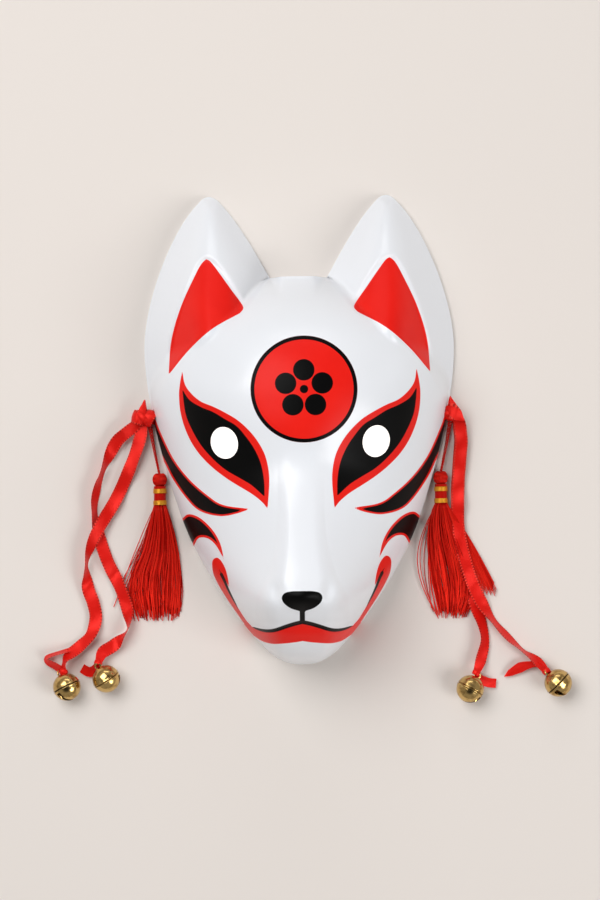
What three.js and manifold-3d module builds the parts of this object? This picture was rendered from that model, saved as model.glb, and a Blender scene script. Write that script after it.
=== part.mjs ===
// Moulded fox festival mask with red ribbons, two thread tassels and four brass jingle bells.
// Millimetres. The mask lies on its rim with the face up: +Y runs from chin to ears, +Z out of the
// face, and the underside of the rim is the plane z = 0. The mask is mirrored about x = 0.
import * as THREE from 'three';
import { mergeVertices } from 'three/addons/utils/BufferGeometryUtils.js';
import Module from 'manifold-3d';

const wasm = await Module();
wasm.setup();

// Driving sizes of the shell
const SHELL_WIDTH = 170.2;
const SHELL_HEIGHT = 257.4;
const SHELL_DEPTH = 91;
const WALL = 2.5;
const EYE_WIDTH = 14.6;
const EYE_HEIGHT = 17.2;
const EYE_SPACING = 81.6;
const EYE_Y = -6.7;
const EYE_TILT = 0.28;
const RIBBON_HOLE = 4.4;
const RIBBON_HOLE_Y = 10;
const RIBBON_HOLE_Z = 7.5;

// Driving sizes of the trimmings
const GAP = 0.3;
const RIBBON_WIDTH = 7;
const RIBBON_THICKNESS = 0.9;
const KNOT_WIDTH = 11;
const KNOT_LENGTH = 12;
const STOPPER_WIDTH = 8;
const BELL_DIAMETER = 15.8;
const BELL_WALL = 0.9;
const BELL_SLIT = 1.4;
const BELL_SLIT_HOLE = 2.6;
const CORD_DIAMETER = 1.4;
const CORD_SAG = 0.4;
const BEAD_DIAMETER = 8;
const NECK_DIAMETER = 6;
const NECK_LENGTH = 10.4;
const BAND_WIDTH = 2.8;
const BAND_WALL = 0.5;
const BAND_SPACING = 6.4;
const SKIRT_LENGTH = 62;
const SKIRT_SPREAD = 20;
const SKIRT_THICKNESS = 7;

// How finely the curved pieces are cut into facets
const FRONT_RINGS = 15;
const BACK_RINGS = 11;
const TOP_STEPS = 3;
const EAR_INNER_STEPS = 11;
const EAR_TIP_STEPS = 4;
const EAR_OUTER_STEPS = 12;
const TEMPLE_STEPS = 10;
const JAW_STEPS = 8;
const CHIN_STEPS = 4;
const ROUND_SIDES = 12;
const BAND_SIDES = 8;
const RIBBON_STEPS = 17;
const CORD_STEPS = 6;

// Finishes
const lacquer = new THREE.MeshStandardMaterial({ color: 0xf3f3f5, roughness: 0.25, metalness: 0 });
const satin = new THREE.MeshStandardMaterial({ color: 0xd8231c, roughness: 0.5, metalness: 0 });
const thread = new THREE.MeshStandardMaterial({ color: 0xd01d17, roughness: 0.65, metalness: 0 });
const brass = new THREE.MeshStandardMaterial({ color: 0xc9a14a, roughness: 0.22, metalness: 1 });
const goldThread = new THREE.MeshStandardMaterial({ color: 0xd9a62e, roughness: 0.4, metalness: 0.6 });

// The shell's form was drawn at this size, and is stretched to the driving sizes
const DRAWN_WIDTH = 170.2;
const DRAWN_HEIGHT = 257.4;
const DRAWN_DEPTH = 91;
const stretch = new THREE.Vector3(
  SHELL_WIDTH / DRAWN_WIDTH,
  SHELL_HEIGHT / DRAWN_HEIGHT,
  SHELL_DEPTH / DRAWN_DEPTH,
);

// Right half of the silhouette, as cubic curves from the middle of the top edge to the chin
const TOP_EDGE = [[0, 83.6], [5, 83.6], [10, 83.6], [15.7, 83.6]];
const EAR_INNER = [[15.7, 83.6], [23.5, 98], [33, 115], [42.6, 125.2]];
const EAR_TIP = [[42.6, 125.2], [46.4, 129.87], [51, 129.87], [54.5, 125.2]];
const EAR_OUTER = [[54.5, 125.2], [68.5, 112], [85.1, 72], [85.1, 45]];
const TEMPLE = [[85.1, 45], [85.1, 18], [75, -20], [65.2, -48.4]];
const JAW = [[65.2, -48.4], [57.4, -71.1], [36.9, -102.9], [20.1, -119.9]];
const CHIN = [[20.1, -119.9], [13.5, -126.2], [7, -128.7], [0, -128.7]];

// Edge of the hollow in the front of the ear
const HOLLOW = [
  [[48.9, 92.3], [44, 91.4], [35.4, 76.5], [30.9, 67.6]],
  [[30.9, 67.6], [29.5, 64.6], [30.4, 63.2], [32.3, 62.1]],
  [[32.3, 62.1], [47, 55.6], [62.8, 45], [70.8, 30.3]],
  [[70.8, 30.3], [70.3, 51], [61.1, 76.6], [53.9, 88.9]],
  [[53.9, 88.9], [52.2, 91.7], [50.9, 92.7], [48.9, 92.3]],
];

// Crease where the forehead meets the ear
const CREASE = [
  [[15.7, 83.6], [19.8, 77.5], [25.6, 68], [31.4, 63]],
  [[31.4, 63], [46, 57], [62.8, 45], [70.8, 30.3]],
  [[70.8, 30.3], [75, 22.5], [79.5, 14.5], [84, 4]],
];

// Stations along the face, each a place on Y and a value there
const FACE_HEIGHT = [
  [-128.7, 0], [-126.5, 22], [-122, 38], [-115, 50], [-100, 58], [-80, 60],
  [-50, 60], [-25, 64], [0, 70.6], [15, 71.5], [30, 70.6],
];
const SNOUT_HEIGHT = [
  [-128.7, 0], [-127.3, 22], [-123.5, 42], [-117, 58], [-109.6, 69], [-104.2, 74], [-99.7, 80],
  [-93.7, 85.5], [-86.8, 88.5], [-77.2, 88], [-58.2, 80.5], [-43.9, 74], [-32.3, 68], [-20, 60], [0, 44], [20, 25],
];
const SNOUT_HALF_WIDTH = [
  [-128.7, 20], [-116, 23], [-102, 25], [-89, 24], [-77, 18.2], [-58, 13.4], [-39, 12.5], [0, 12],
];
const SNOUT_FALL = [[-128.7, 1.2], [-100, 1.5], [-80, 1.35], [-50, 1.1], [0, 0.9]];

// Small tools for curves and blends
function curvePoints(curve, steps) {
  const [a, b, c, d] = curve.map(([x, y]) => new THREE.Vector2(x, y));
  return new THREE.CubicBezierCurve(a, b, c, d).getPoints(steps);
}

function chain(curves, steps = 16) {
  const points = curvePoints(curves[0], steps);
  for (const curve of curves.slice(1)) points.push(...curvePoints(curve, steps).slice(1));
  return points;
}

function distanceTo(points, x, y) {
  let best = Infinity;
  for (let i = 1; i < points.length; i += 1) {
    const a = points[i - 1];
    const dx = points[i].x - a.x;
    const dy = points[i].y - a.y;
    const t = THREE.MathUtils.clamp(((x - a.x) * dx + (y - a.y) * dy) / (dx * dx + dy * dy), 0, 1);
    best = Math.min(best, Math.hypot(x - a.x - t * dx, y - a.y - t * dy));
  }
  return best;
}

function isInside(points, x, y) {
  let inside = false;
  for (let i = 0, j = points.length - 1; i < points.length; j = i, i += 1) {
    const p = points[i];
    const q = points[j];
    const crosses = (p.y > y) !== (q.y > y);
    if (crosses && x < ((q.x - p.x) * (y - p.y)) / (q.y - p.y) + p.x) inside = !inside;
  }
  return inside;
}

function smoothMax(a, b, blend) {
  const near = Math.max(blend - Math.abs(a - b), 0) / blend;
  return Math.max(a, b) + (near * near * blend) / 4;
}

function smoothMin(a, b, blend) {
  return -smoothMax(-a, -b, blend);
}

function bump(x, y, centreX, centreY, reachX, reachY) {
  return Math.exp(-(((x - centreX) / reachX) ** 2) - ((y - centreY) / reachY) ** 2);
}

function rise(from, to, value) {
  const t = THREE.MathUtils.clamp((value - from) / (to - from), 0, 1);
  return t * t * (3 - 2 * t);
}

// Smooth curve through stations, with each tangent taken from the stations on either side
function along(stations, place) {
  const last = stations.length - 1;
  const at = THREE.MathUtils.clamp(place, stations[0][0], stations[last][0]);
  let i = 0;
  while (i < last - 1 && at > stations[i + 1][0]) i += 1;
  const tangent = (k) => {
    const [p0, v0] = stations[Math.max(k - 1, 0)];
    const [p1, v1] = stations[Math.min(k + 1, last)];
    return (v1 - v0) / (p1 - p0);
  };
  const [p, v] = stations[i];
  const [q, w] = stations[i + 1];
  const span = q - p;
  const t = (at - p) / span;
  const fromStart = (2 * t ** 3 - 3 * t ** 2 + 1) * v + (t ** 3 - 2 * t ** 2 + t) * span * tangent(i);
  const fromEnd = (3 * t ** 2 - 2 * t ** 3) * w + (t ** 3 - t ** 2) * span * tangent(i + 1);
  return fromStart + fromEnd;
}

// The silhouette and the lines that the form is worked out from
const halfOutline = chain([TOP_EDGE, EAR_INNER, EAR_TIP, EAR_OUTER, TEMPLE, JAW, CHIN]);
const mirrored = halfOutline.slice(1, -1).reverse().map((p) => new THREE.Vector2(-p.x, p.y));
const outline = [...halfOutline, ...mirrored];
const tipTop = curvePoints(EAR_TIP, 16);
const earInner = [...chain([EAR_INNER]), ...tipTop.slice(1, 9)];
const earOuter = [...tipTop.slice(8), ...chain([EAR_OUTER, TEMPLE]).slice(1)];
const hollow = chain(HOLLOW);
const crease = chain(CREASE);
const earSide = [...crease, new THREE.Vector2(130, 4), new THREE.Vector2(130, 160), new THREE.Vector2(15.7, 160)];
const lowerEdge = chain([TEMPLE, JAW, CHIN]);

// Half the width of the face at a height below the ears
function halfWidth(y) {
  for (let i = 1; i < lowerEdge.length; i += 1) {
    const above = lowerEdge[i - 1];
    const below = lowerEdge[i];
    if (y >= below.y) {
      return THREE.MathUtils.mapLinear(Math.min(y, above.y), above.y, below.y, above.x, below.x);
    }
  }
  return 0;
}

// Forehead and cheeks: a dome over the width of the face
const DOME_MIDDLE = 15;
const DOME_TOP = 84.2;
function faceHeight(x, y, creaseSide) {
  const up = THREE.MathUtils.clamp((y - DOME_MIDDLE) / (DOME_TOP - DOME_MIDDLE), 0, 0.9999);
  const width = halfWidth(Math.min(y, EAR_OUTER[3][1])) * (1 - up ** 2.2) ** 0.455;
  const middle = along(FACE_HEIGHT, Math.min(y, DOME_MIDDLE)) * (1 - up ** 2.3) ** 0.58;
  const across = Math.min(x / Math.max(width, 1e-6), 1);
  const dome = middle * (1 - across ** 2) ** 0.63;
  return dome - 0.7 * Math.max(0, creaseSide) * rise(5, 40, y);
}

// The snout: a rounded ridge that grows out between the eyes and ends in the muzzle
function snoutHeight(x, y) {
  const flat = along(SNOUT_HALF_WIDTH, y);
  const out = Math.max(0, x - flat * 0.45);
  const belowEars = 30 * rise(8, 20, x) * rise(38, 66, y);
  const crown = along(SNOUT_HEIGHT, y) - 0.012 * Math.min(x, flat) ** 2 - belowEars;
  const across = Math.min(x / Math.max(halfWidth(y), 1e-6), 1);
  return (crown - (along(SNOUT_FALL, y) * out ** 2) / (out + 11)) * Math.sqrt(1 - across ** 5);
}

// The ear: flanks rise from both edges to a ridge, and a hollow is sunk in its front
const EAR_RIDGE_X = 49;
function earHeight(x, y, creaseSide) {
  const flanks = smoothMin(2 + 1.7 * distanceTo(earInner, x, y), 2.5 + 1.45 * distanceTo(earOuter, x, y), 9);
  const ridge = 13 + (128 - y) * 0.5 - 0.02 * (x - EAR_RIDGE_X) ** 2;
  const inHollow = distanceTo(hollow, x, y) * (isInside(hollow, x, y) ? 1 : -1);
  const ear = smoothMin(flanks, ridge, 8) - 1.5 * Math.max(0, -creaseSide) - 2.6 * rise(-2.8, 0.4, inHollow);
  return ear * rise(-15, 25, y);
}

// Height of the front face over the rim's plane, at the drawn size
function drawnHeight(xSigned, y) {
  const x = Math.abs(xSigned);
  const creaseSide = distanceTo(crease, x, y) * (isInside(earSide, x, y) ? 1 : -1);
  let z = smoothMax(faceHeight(x, y, creaseSide), snoutHeight(x, y), 18);
  z = smoothMax(z, earHeight(x, y, creaseSide), 3.5);
  const nose = 4.5 * bump(x, y, 0, -88.6, 10, 6.5);
  const muzzle = 4 * bump(x, y, 20.3, -91.3, 9.5, 10);
  const nostril = 2.6 * bump(x, y, 13.6, -86, 3.4, 5);
  const philtrum = 1.3 * bump(x, y, 0, -99.8, 1.6, 4);
  const temple = 1.5 * bump(x, y, 44.8, 34.7, 13, 11);
  const eyeHollow = 3.2 * bump(x, y, 41, -7.2, 20, 15);
  const mouthY = -102.6 - 3.4 * rise(0, 16.5, x) + 1.8 * rise(17.5, 29, x);
  const lip = 1.6 * rise(0.8, -0.8, y - mouthY) * rise(33, 25, x) * rise(-123, -111, y);
  z += nose + muzzle - nostril - philtrum - temple - eyeHollow - lip;
  return Math.max(z, 1);
}

// Height of the front face at the real size, and nothing outside the silhouette
function frontHeight(x, y) {
  const drawnX = x / stretch.x;
  const drawnY = y / stretch.y;
  if (!isInside(outline, drawnX, drawnY)) return 0;
  return drawnHeight(drawnX, drawnY) * stretch.z;
}

// The back face lies one wall behind the front: a ball of that radius rolls under the front face
function backHeight(x, y) {
  let lowest = frontHeight(x, y) - WALL;
  for (const tilt of [0.35, 0.7, 1.05, 1.35, Math.PI / 2]) {
    const reach = WALL * Math.sin(tilt);
    const drop = WALL * Math.cos(tilt);
    for (let k = 0; k < 12; k += 1) {
      const turn = (k * Math.PI) / 6;
      lowest = Math.min(lowest, frontHeight(x + reach * Math.cos(turn), y + reach * Math.sin(turn)) - drop);
    }
  }
  return Math.max(lowest, 0.4);
}

// Points round the silhouette, and the same points one wall further in
function rimPoints() {
  const half = [
    ...curvePoints(TOP_EDGE, TOP_STEPS),
    ...curvePoints(EAR_INNER, EAR_INNER_STEPS).slice(1),
    ...curvePoints(EAR_TIP, EAR_TIP_STEPS).slice(1),
    ...curvePoints(EAR_OUTER, EAR_OUTER_STEPS).slice(1),
    ...curvePoints(TEMPLE, TEMPLE_STEPS).slice(1),
    ...curvePoints(JAW, JAW_STEPS).slice(1),
    ...curvePoints(CHIN, CHIN_STEPS).slice(1),
  ];
  const otherHalf = half.slice(1, -1).reverse().map((p) => new THREE.Vector2(-p.x, p.y));
  const outer = [...half, ...otherHalf].map((p) => new THREE.Vector3(p.x * stretch.x, p.y * stretch.y, 0));
  const inner = outer.map((p, i) => {
    const before = outer[(i + outer.length - 1) % outer.length];
    const after = outer[(i + 1) % outer.length];
    const side = new THREE.Vector3(after.y - before.y, before.x - after.x, 0).normalize();
    return p.clone().addScaledVector(side, WALL);
  });
  return { outer, inner };
}

// One face of the shell: rings of points that shrink from its edge to a middle point
const RING_CENTRE = new THREE.Vector3(0, 20, 0);
function addFace(edge, rings, height, positions, indices, facesUp) {
  const start = positions.length / 3;
  const rays = edge.length;
  for (let ring = 0; ring < rings; ring += 1) {
    const share = 1 - (ring / rings) ** 1.5;
    for (const p of edge) {
      const q = RING_CENTRE.clone().lerp(p, share);
      positions.push(q.x, q.y, ring === 0 ? 0 : height(q.x, q.y));
    }
  }
  positions.push(RING_CENTRE.x, RING_CENTRE.y, height(RING_CENTRE.x, RING_CENTRE.y));
  const middle = positions.length / 3 - 1;
  const face = (a, b, c) => indices.push(...(facesUp ? [a, b, c] : [a, c, b]));
  for (let ring = 0; ring < rings; ring += 1) {
    for (let i = 0; i < rays; i += 1) {
      const a = start + ring * rays + i;
      const b = start + ring * rays + ((i + 1) % rays);
      if (ring === rings - 1) {
        face(b, a, middle);
      } else {
        face(b, a, a + rays);
        face(b, a + rays, b + rays);
      }
    }
  }
  return start;
}

function shellGeometry() {
  const positions = [];
  const indices = [];
  const { outer, inner } = rimPoints();
  const front = addFace(outer, FRONT_RINGS, frontHeight, positions, indices, true);
  const back = addFace(inner, BACK_RINGS, backHeight, positions, indices, false);
  for (let i = 0; i < outer.length; i += 1) {
    const next = (i + 1) % outer.length;
    indices.push(front + i, front + next, back + next);
    indices.push(front + i, back + next, back + i);
  }
  const geometry = new THREE.BufferGeometry();
  geometry.setAttribute('position', new THREE.Float32BufferAttribute(positions, 3));
  geometry.setIndex(indices);
  return geometry;
}

// Joins and cuts
function toSolid(geometry) {
  const bare = geometry.clone();
  bare.deleteAttribute('normal');
  bare.deleteAttribute('uv');
  const merged = mergeVertices(bare, 1e-4);
  return new wasm.Manifold(new wasm.Mesh({
    numProp: 3,
    vertProperties: new Float32Array(merged.attributes.position.array),
    triVerts: new Uint32Array(merged.index.array),
  }));
}

function toGeometry(solid) {
  const mesh = solid.getMesh();
  const geometry = new THREE.BufferGeometry();
  geometry.setAttribute('position', new THREE.BufferAttribute(mesh.vertProperties, 3));
  geometry.setIndex(new THREE.BufferAttribute(mesh.triVerts, 1));
  return geometry;
}

const part = new THREE.Group();
function add(name, geometry, material) {
  const mesh = new THREE.Mesh(geometry, material);
  mesh.name = name;
  part.add(mesh);
  return mesh;
}

// Eye hole: an upright oval that leans a little outward, cut straight through
function eyeCutter(side) {
  const oval = new THREE.Shape();
  oval.absellipse(0, 0, EYE_WIDTH / 2, EYE_HEIGHT / 2, 0, Math.PI * 2, false, -side * EYE_TILT);
  const cutter = new THREE.ExtrudeGeometry(oval, { depth: SHELL_DEPTH, bevelEnabled: false, curveSegments: 12 });
  cutter.translate((side * EYE_SPACING) / 2, EYE_Y, 1);
  return cutter;
}

// Outer face of the side wall at the ribbon hole, found by stepping in from the silhouette
function wallX(y, z) {
  let x = halfWidth(y / stretch.y) * stretch.x;
  while (frontHeight(x, y) < z) x -= 0.05;
  return x;
}

function ribbonHoleCutter(side) {
  const cutter = new THREE.CylinderGeometry(RIBBON_HOLE / 2, RIBBON_HOLE / 2, 8 * WALL, ROUND_SIDES);
  cutter.rotateZ(Math.PI / 2);
  cutter.translate(side * wallX(RIBBON_HOLE_Y, RIBBON_HOLE_Z), RIBBON_HOLE_Y, RIBBON_HOLE_Z);
  return cutter;
}

function maskShell() {
  let shell = toSolid(shellGeometry());
  for (const side of [-1, 1]) {
    shell = shell.subtract(toSolid(eyeCutter(side)));
    shell = shell.subtract(toSolid(ribbonHoleCutter(side)));
  }
  add('mask_shell', toGeometry(shell), lacquer);
}

// Knot: a pulled-tight lump outside the ribbon hole, a neck through it and a stopper knot inside
function ribbonKnot(name, side) {
  const outerFace = wallX(RIBBON_HOLE_Y, RIBBON_HOLE_Z - RIBBON_HOLE / 2);
  const lumpStart = outerFace + GAP;
  const stopperEnd = wallX(RIBBON_HOLE_Y, RIBBON_HOLE_Z + RIBBON_HOLE / 2) - 1.4 * WALL - GAP;
  const neck = RIBBON_HOLE / 2 - GAP;
  const profile = [new THREE.Vector2(0, stopperEnd - STOPPER_WIDTH)];
  for (const angle of [0.8, 1.57, 2.3]) {
    const r = (Math.sin(angle) * STOPPER_WIDTH) / 2;
    profile.push(new THREE.Vector2(r, stopperEnd - (STOPPER_WIDTH * (1 + Math.cos(angle))) / 2));
  }
  profile.push(new THREE.Vector2(neck, stopperEnd));
  profile.push(new THREE.Vector2(neck, lumpStart));
  for (const angle of [0.6, 1.1, 1.57, 2.1, 2.7]) {
    const r = (Math.sin(angle) * KNOT_WIDTH) / 2;
    profile.push(new THREE.Vector2(r, lumpStart + (KNOT_LENGTH * (1 - Math.cos(angle))) / 2));
  }
  profile.push(new THREE.Vector2(0, lumpStart + KNOT_LENGTH));
  const geometry = new THREE.LatheGeometry(profile, ROUND_SIDES - 2);
  geometry.rotateZ(-Math.PI / 2);
  if (side < 0) geometry.rotateY(Math.PI);
  geometry.translate(0, RIBBON_HOLE_Y, RIBBON_HOLE_Z);
  add(name, geometry, satin);
}

// Flat band or round cord along a route that lies on the table
function flatSection(width, thickness) {
  const section = new THREE.Shape();
  section.absellipse(0, 0, thickness / 2, width / 2, 0, Math.PI * 2);
  return section;
}

function laidTube(route, width, thickness, steps) {
  const path = new THREE.CatmullRomCurve3(route.map(([x, y, z]) => new THREE.Vector3(x, y, z)));
  const section = flatSection(width, thickness);
  return new THREE.ExtrudeGeometry(section, { steps, curveSegments: BAND_SIDES / 2, extrudePath: path });
}

// Routes of the ribbon tails from the knot to the bell, chosen by hand. The first two points are level,
// which keeps the ribbon flat.
const LOW = RIBBON_THICKNESS / 2 + 0.1;
const HIGH = LOW + RIBBON_THICKNESS + GAP;
const LEFT_OUTER_ROUTE = [
  [-94.6, 0.6, 2], [-101.3, -6, 2], [-108.1, -18.7, LOW], [-112.7, -32.9, LOW], [-113.5, -44.4, LOW],
  [-110.7, -58.8, LOW], [-106.2, -72, LOW], [-100.3, -84.2, LOW], [-96.3, -96.2, LOW], [-95.4, -104.7, LOW],
  [-98.1, -112.4, LOW], [-104, -118.2, LOW], [-108.7, -121.8, LOW], [-108.4, -127, LOW],
];
const LEFT_INNER_ROUTE = [
  [-87.4, -1.6, 2], [-90.4, -11.4, 2], [-95.8, -24.7, LOW], [-102, -37.7, 1.4], [-110.6, -51.8, HIGH],
  [-116.1, -63.6, 1.4], [-118.3, -73.2, LOW], [-117.6, -85.1, LOW], [-114.8, -93.4, LOW],
  [-113.5, -102.1, LOW], [-116.1, -111, LOW], [-122.6, -117.6, LOW], [-128.4, -121.6, LOW], [-130.8, -126, LOW],
  [-130.3, -131.2, LOW],
];
const RIGHT_INNER_ROUTE = [
  [88.4, 0.4, 2], [88.2, -8, 2], [87.2, -17, LOW], [86.2, -29, LOW], [85.8, -40.6, LOW], [85.9, -54.9, LOW],
  [88.4, -69.3, LOW], [92, -84, LOW], [95.2, -97, LOW], [98.9, -108.8, LOW], [100, -117.1, LOW],
  [97.6, -126.2, LOW], [94.3, -135.3, LOW],
];
const RIGHT_OUTER_ROUTE = [
  [89, 0.4, 3.6], [88.7, -8, 3.6], [87.6, -17, HIGH], [86.6, -29, HIGH], [86.2, -40.6, HIGH], [86.3, -54.9, HIGH],
  [89, -69.3, HIGH], [93.2, -84, HIGH], [99, -97, HIGH], [107.5, -109.4, LOW], [119.3, -121.3, LOW],
  [127.5, -128.4, LOW], [133.9, -134.6, LOW],
];

// Loose ends past the bells: short folded flaps of ribbon beside the ribbon's last stretch
const FLAP_THICKNESS = 1.6;
const FLAP_TAPER = 0.6;
const LEFT_OUTER_FLAP = { turn: 188, start: RIBBON_WIDTH / 2 + 0.8, length: 10, width: 4 };
const LEFT_INNER_FLAP = { turn: 152, start: RIBBON_WIDTH / 2 + 3, length: 6.5, width: 4.2 };
const RIGHT_INNER_FLAP = { turn: -20, start: RIBBON_WIDTH / 2 + 1, length: 9, width: 4 };
const RIGHT_OUTER_FLAP = { turn: 187, start: RIBBON_WIDTH / 2 + 5.5, length: 15, width: 4.6 };

function looseEnd(name, route, { turn, start, length, width }) {
  const flap = new THREE.Shape([
    new THREE.Vector2(start, -width / 2),
    new THREE.Vector2(start + length, (-width / 2) * FLAP_TAPER),
    new THREE.Vector2(start + length, (width / 2) * FLAP_TAPER),
    new THREE.Vector2(start, width / 2),
  ]);
  const geometry = new THREE.ExtrudeGeometry(flap, { depth: FLAP_THICKNESS, bevelEnabled: false });
  const [endX, endY] = route[route.length - 1];
  const mesh = add(name, geometry, satin);
  mesh.position.set(endX, endY, 0.1);
  mesh.rotation.z = THREE.MathUtils.degToRad(turn);
}

// Jingle bell: a hollow ball with a slit that ends in two round holes
function bellGeometry() {
  const radius = BELL_DIAMETER / 2;
  const profile = [];
  const arcSteps = 6;
  for (let i = 0; i <= arcSteps; i += 1) {
    const angle = (i * Math.PI) / arcSteps;
    profile.push(new THREE.Vector2(Math.sin(angle) * radius, -Math.cos(angle) * radius));
  }
  const ball = new THREE.LatheGeometry(profile, ROUND_SIDES);
  const hollowShare = (radius - BELL_WALL) / radius;
  const inside = ball.clone().scale(hollowShare, hollowShare, hollowShare);
  const slit = new THREE.BoxGeometry(BELL_SLIT, radius, 2 * radius * Math.cos(0.45));
  slit.translate(0, -radius / 2 - 0.35 * radius, 0);
  let bell = toSolid(ball).subtract(toSolid(inside)).subtract(toSolid(slit));
  for (const end of [-1, 1]) {
    const hole = new THREE.CylinderGeometry(BELL_SLIT_HOLE / 2, BELL_SLIT_HOLE / 2, radius, 8);
    hole.rotateX(Math.PI / 2);
    hole.translate(0, -0.35 * radius, end * radius);
    bell = bell.subtract(toSolid(hole));
  }
  return toGeometry(bell);
}

// The bell lies beyond the end of its ribbon, with its crown towards the ribbon
function bellAtEnd(name, route) {
  const end = new THREE.Vector3(...route[route.length - 1]);
  const before = new THREE.Vector3(...route[route.length - 2]);
  const way = end.clone().sub(before).setZ(0).normalize();
  const mesh = add(name, bellGeometry(), brass);
  const reach = BELL_DIAMETER / 2 + GAP;
  mesh.position.set(end.x + way.x * reach, end.y + way.y * reach, BELL_DIAMETER / 2);
  mesh.rotation.z = Math.atan2(-way.y, -way.x) - Math.PI / 2;
}

// Tassel, drawn along -Y from the top of its bead and then laid on the table
function tassel(name, top, lean) {
  const group = new THREE.Group();
  const place = (piece, geometry, material, down, lift) => {
    const mesh = new THREE.Mesh(geometry, material);
    mesh.name = `${name}_${piece}`;
    mesh.position.set(0, -down, lift);
    group.add(mesh);
  };
  const bead = new THREE.SphereGeometry(BEAD_DIAMETER / 2, 10, 6);
  const neckTop = BEAD_DIAMETER + GAP;
  const bandRadius = NECK_DIAMETER / 2 + GAP + BAND_WALL;
  const bandInner = bandRadius - BAND_WALL;
  const axisLift = Math.max(BEAD_DIAMETER / 2, bandRadius) + 0.1;
  place('bead', bead, thread, BEAD_DIAMETER / 2, axisLift);

  const skirtProfile = [
    new THREE.Vector2(0, -NECK_LENGTH - SKIRT_LENGTH),
    new THREE.Vector2(SKIRT_SPREAD * 0.5, -NECK_LENGTH - SKIRT_LENGTH * 0.96),
    new THREE.Vector2(SKIRT_SPREAD * 0.42, -NECK_LENGTH - SKIRT_LENGTH * 0.5),
    new THREE.Vector2(SKIRT_SPREAD * 0.26, -NECK_LENGTH - SKIRT_LENGTH * 0.1),
    new THREE.Vector2(NECK_DIAMETER / 2, -NECK_LENGTH),
    new THREE.Vector2(NECK_DIAMETER / 2, 0),
    new THREE.Vector2(0, 0),
  ];
  const skirt = new THREE.LatheGeometry(skirtProfile, ROUND_SIDES);
  const flatten = skirt.attributes.position;
  for (let i = 0; i < flatten.count; i += 1) {
    const below = -NECK_LENGTH - flatten.getY(i);
    const spread = Math.hypot(flatten.getX(i), flatten.getZ(i));
    const squash = below > 0.01 ? Math.min(1, SKIRT_THICKNESS / 2 / Math.max(spread, 1)) : 1;
    const drop = THREE.MathUtils.clamp(below / (SKIRT_LENGTH * 0.3), 0, 1) * (axisLift - SKIRT_THICKNESS / 2 - 0.1);
    flatten.setZ(i, flatten.getZ(i) * squash - Math.max(0, drop));
  }
  place('skirt', skirt, thread, neckTop, axisLift);

  const bandStart = (NECK_LENGTH - BAND_SPACING - BAND_WIDTH) / 2;
  ['upper', 'lower'].forEach((level, i) => {
    const ring = new THREE.LatheGeometry([
      new THREE.Vector2(bandInner, 0),
      new THREE.Vector2(bandRadius, 0),
      new THREE.Vector2(bandRadius, BAND_WIDTH),
      new THREE.Vector2(bandInner, BAND_WIDTH),
      new THREE.Vector2(bandInner, 0),
    ], ROUND_SIDES);
    place(`${level}_gold_band`, ring, goldThread, neckTop + bandStart + i * BAND_SPACING + BAND_WIDTH, axisLift);
  });
  group.position.set(top[0], top[1], 0);
  group.rotation.z = lean;
  part.add(group);
  return new THREE.Vector3(top[0], top[1], axisLift);
}

// Cord that the tassel hangs by, from the knot's side down to the bead
function tasselCord(name, start, beadTop) {
  const end = [beadTop.x, beadTop.y + GAP, beadTop.z];
  const middle = start.map((v, i) => (v + end[i]) / 2);
  const route = [start, [middle[0] + Math.sign(start[0]) * CORD_SAG, middle[1], CORD_DIAMETER], end];
  add(name, laidTube(route, CORD_DIAMETER, CORD_DIAMETER, CORD_STEPS), thread);
}

maskShell();
ribbonKnot('left_ribbon_knot', -1);
ribbonKnot('right_ribbon_knot', 1);

const tails = [
  ['left_outer', LEFT_OUTER_ROUTE, LEFT_OUTER_FLAP],
  ['left_inner', LEFT_INNER_ROUTE, LEFT_INNER_FLAP],
  ['right_inner', RIGHT_INNER_ROUTE, RIGHT_INNER_FLAP],
  ['right_outer', RIGHT_OUTER_ROUTE, RIGHT_OUTER_FLAP],
];
for (const [name, route, flap] of tails) {
  add(`${name}_ribbon`, laidTube(route, RIBBON_WIDTH, RIBBON_THICKNESS, RIBBON_STEPS), satin);
  bellAtEnd(`${name}_bell`, route);
  looseEnd(`${name}_ribbon_end`, route, flap);
}

const leftBeadTop = tassel('left_tassel', [-77.4, -22.4], -0.055);
const rightBeadTop = tassel('right_tassel', [76.8, -23], 0.005);
tasselCord('left_tassel_cord', [-82.4, 2.4, 4.6], leftBeadTop);
tasselCord('right_tassel_cord', [82.4, 2.6, 4.6], rightBeadTop);

export default part;
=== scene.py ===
# A moulded fox festival mask with satin ribbons, thread tassels and brass jingle bells, lying on a table.
# Pieces are worked out in millimetres in the part's own frame, and their meshes are written in metres.
import math

import bmesh
import bpy
import numpy as np
from mathutils import Matrix, Vector


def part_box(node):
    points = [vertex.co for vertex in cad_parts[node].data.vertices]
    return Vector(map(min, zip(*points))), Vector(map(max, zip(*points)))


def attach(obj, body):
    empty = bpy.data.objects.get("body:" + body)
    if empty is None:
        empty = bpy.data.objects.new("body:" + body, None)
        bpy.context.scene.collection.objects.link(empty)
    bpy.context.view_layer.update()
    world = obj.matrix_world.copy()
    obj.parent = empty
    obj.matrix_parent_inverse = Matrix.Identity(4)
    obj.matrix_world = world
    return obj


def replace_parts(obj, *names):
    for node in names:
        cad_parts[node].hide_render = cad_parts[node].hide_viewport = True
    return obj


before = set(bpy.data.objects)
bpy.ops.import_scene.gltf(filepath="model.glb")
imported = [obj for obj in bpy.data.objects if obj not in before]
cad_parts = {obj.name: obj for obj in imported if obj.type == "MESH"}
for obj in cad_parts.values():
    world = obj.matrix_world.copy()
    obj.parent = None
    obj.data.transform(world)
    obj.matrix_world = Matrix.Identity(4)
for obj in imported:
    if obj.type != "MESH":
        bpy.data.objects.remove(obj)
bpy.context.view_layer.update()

MM = 0.001

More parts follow.
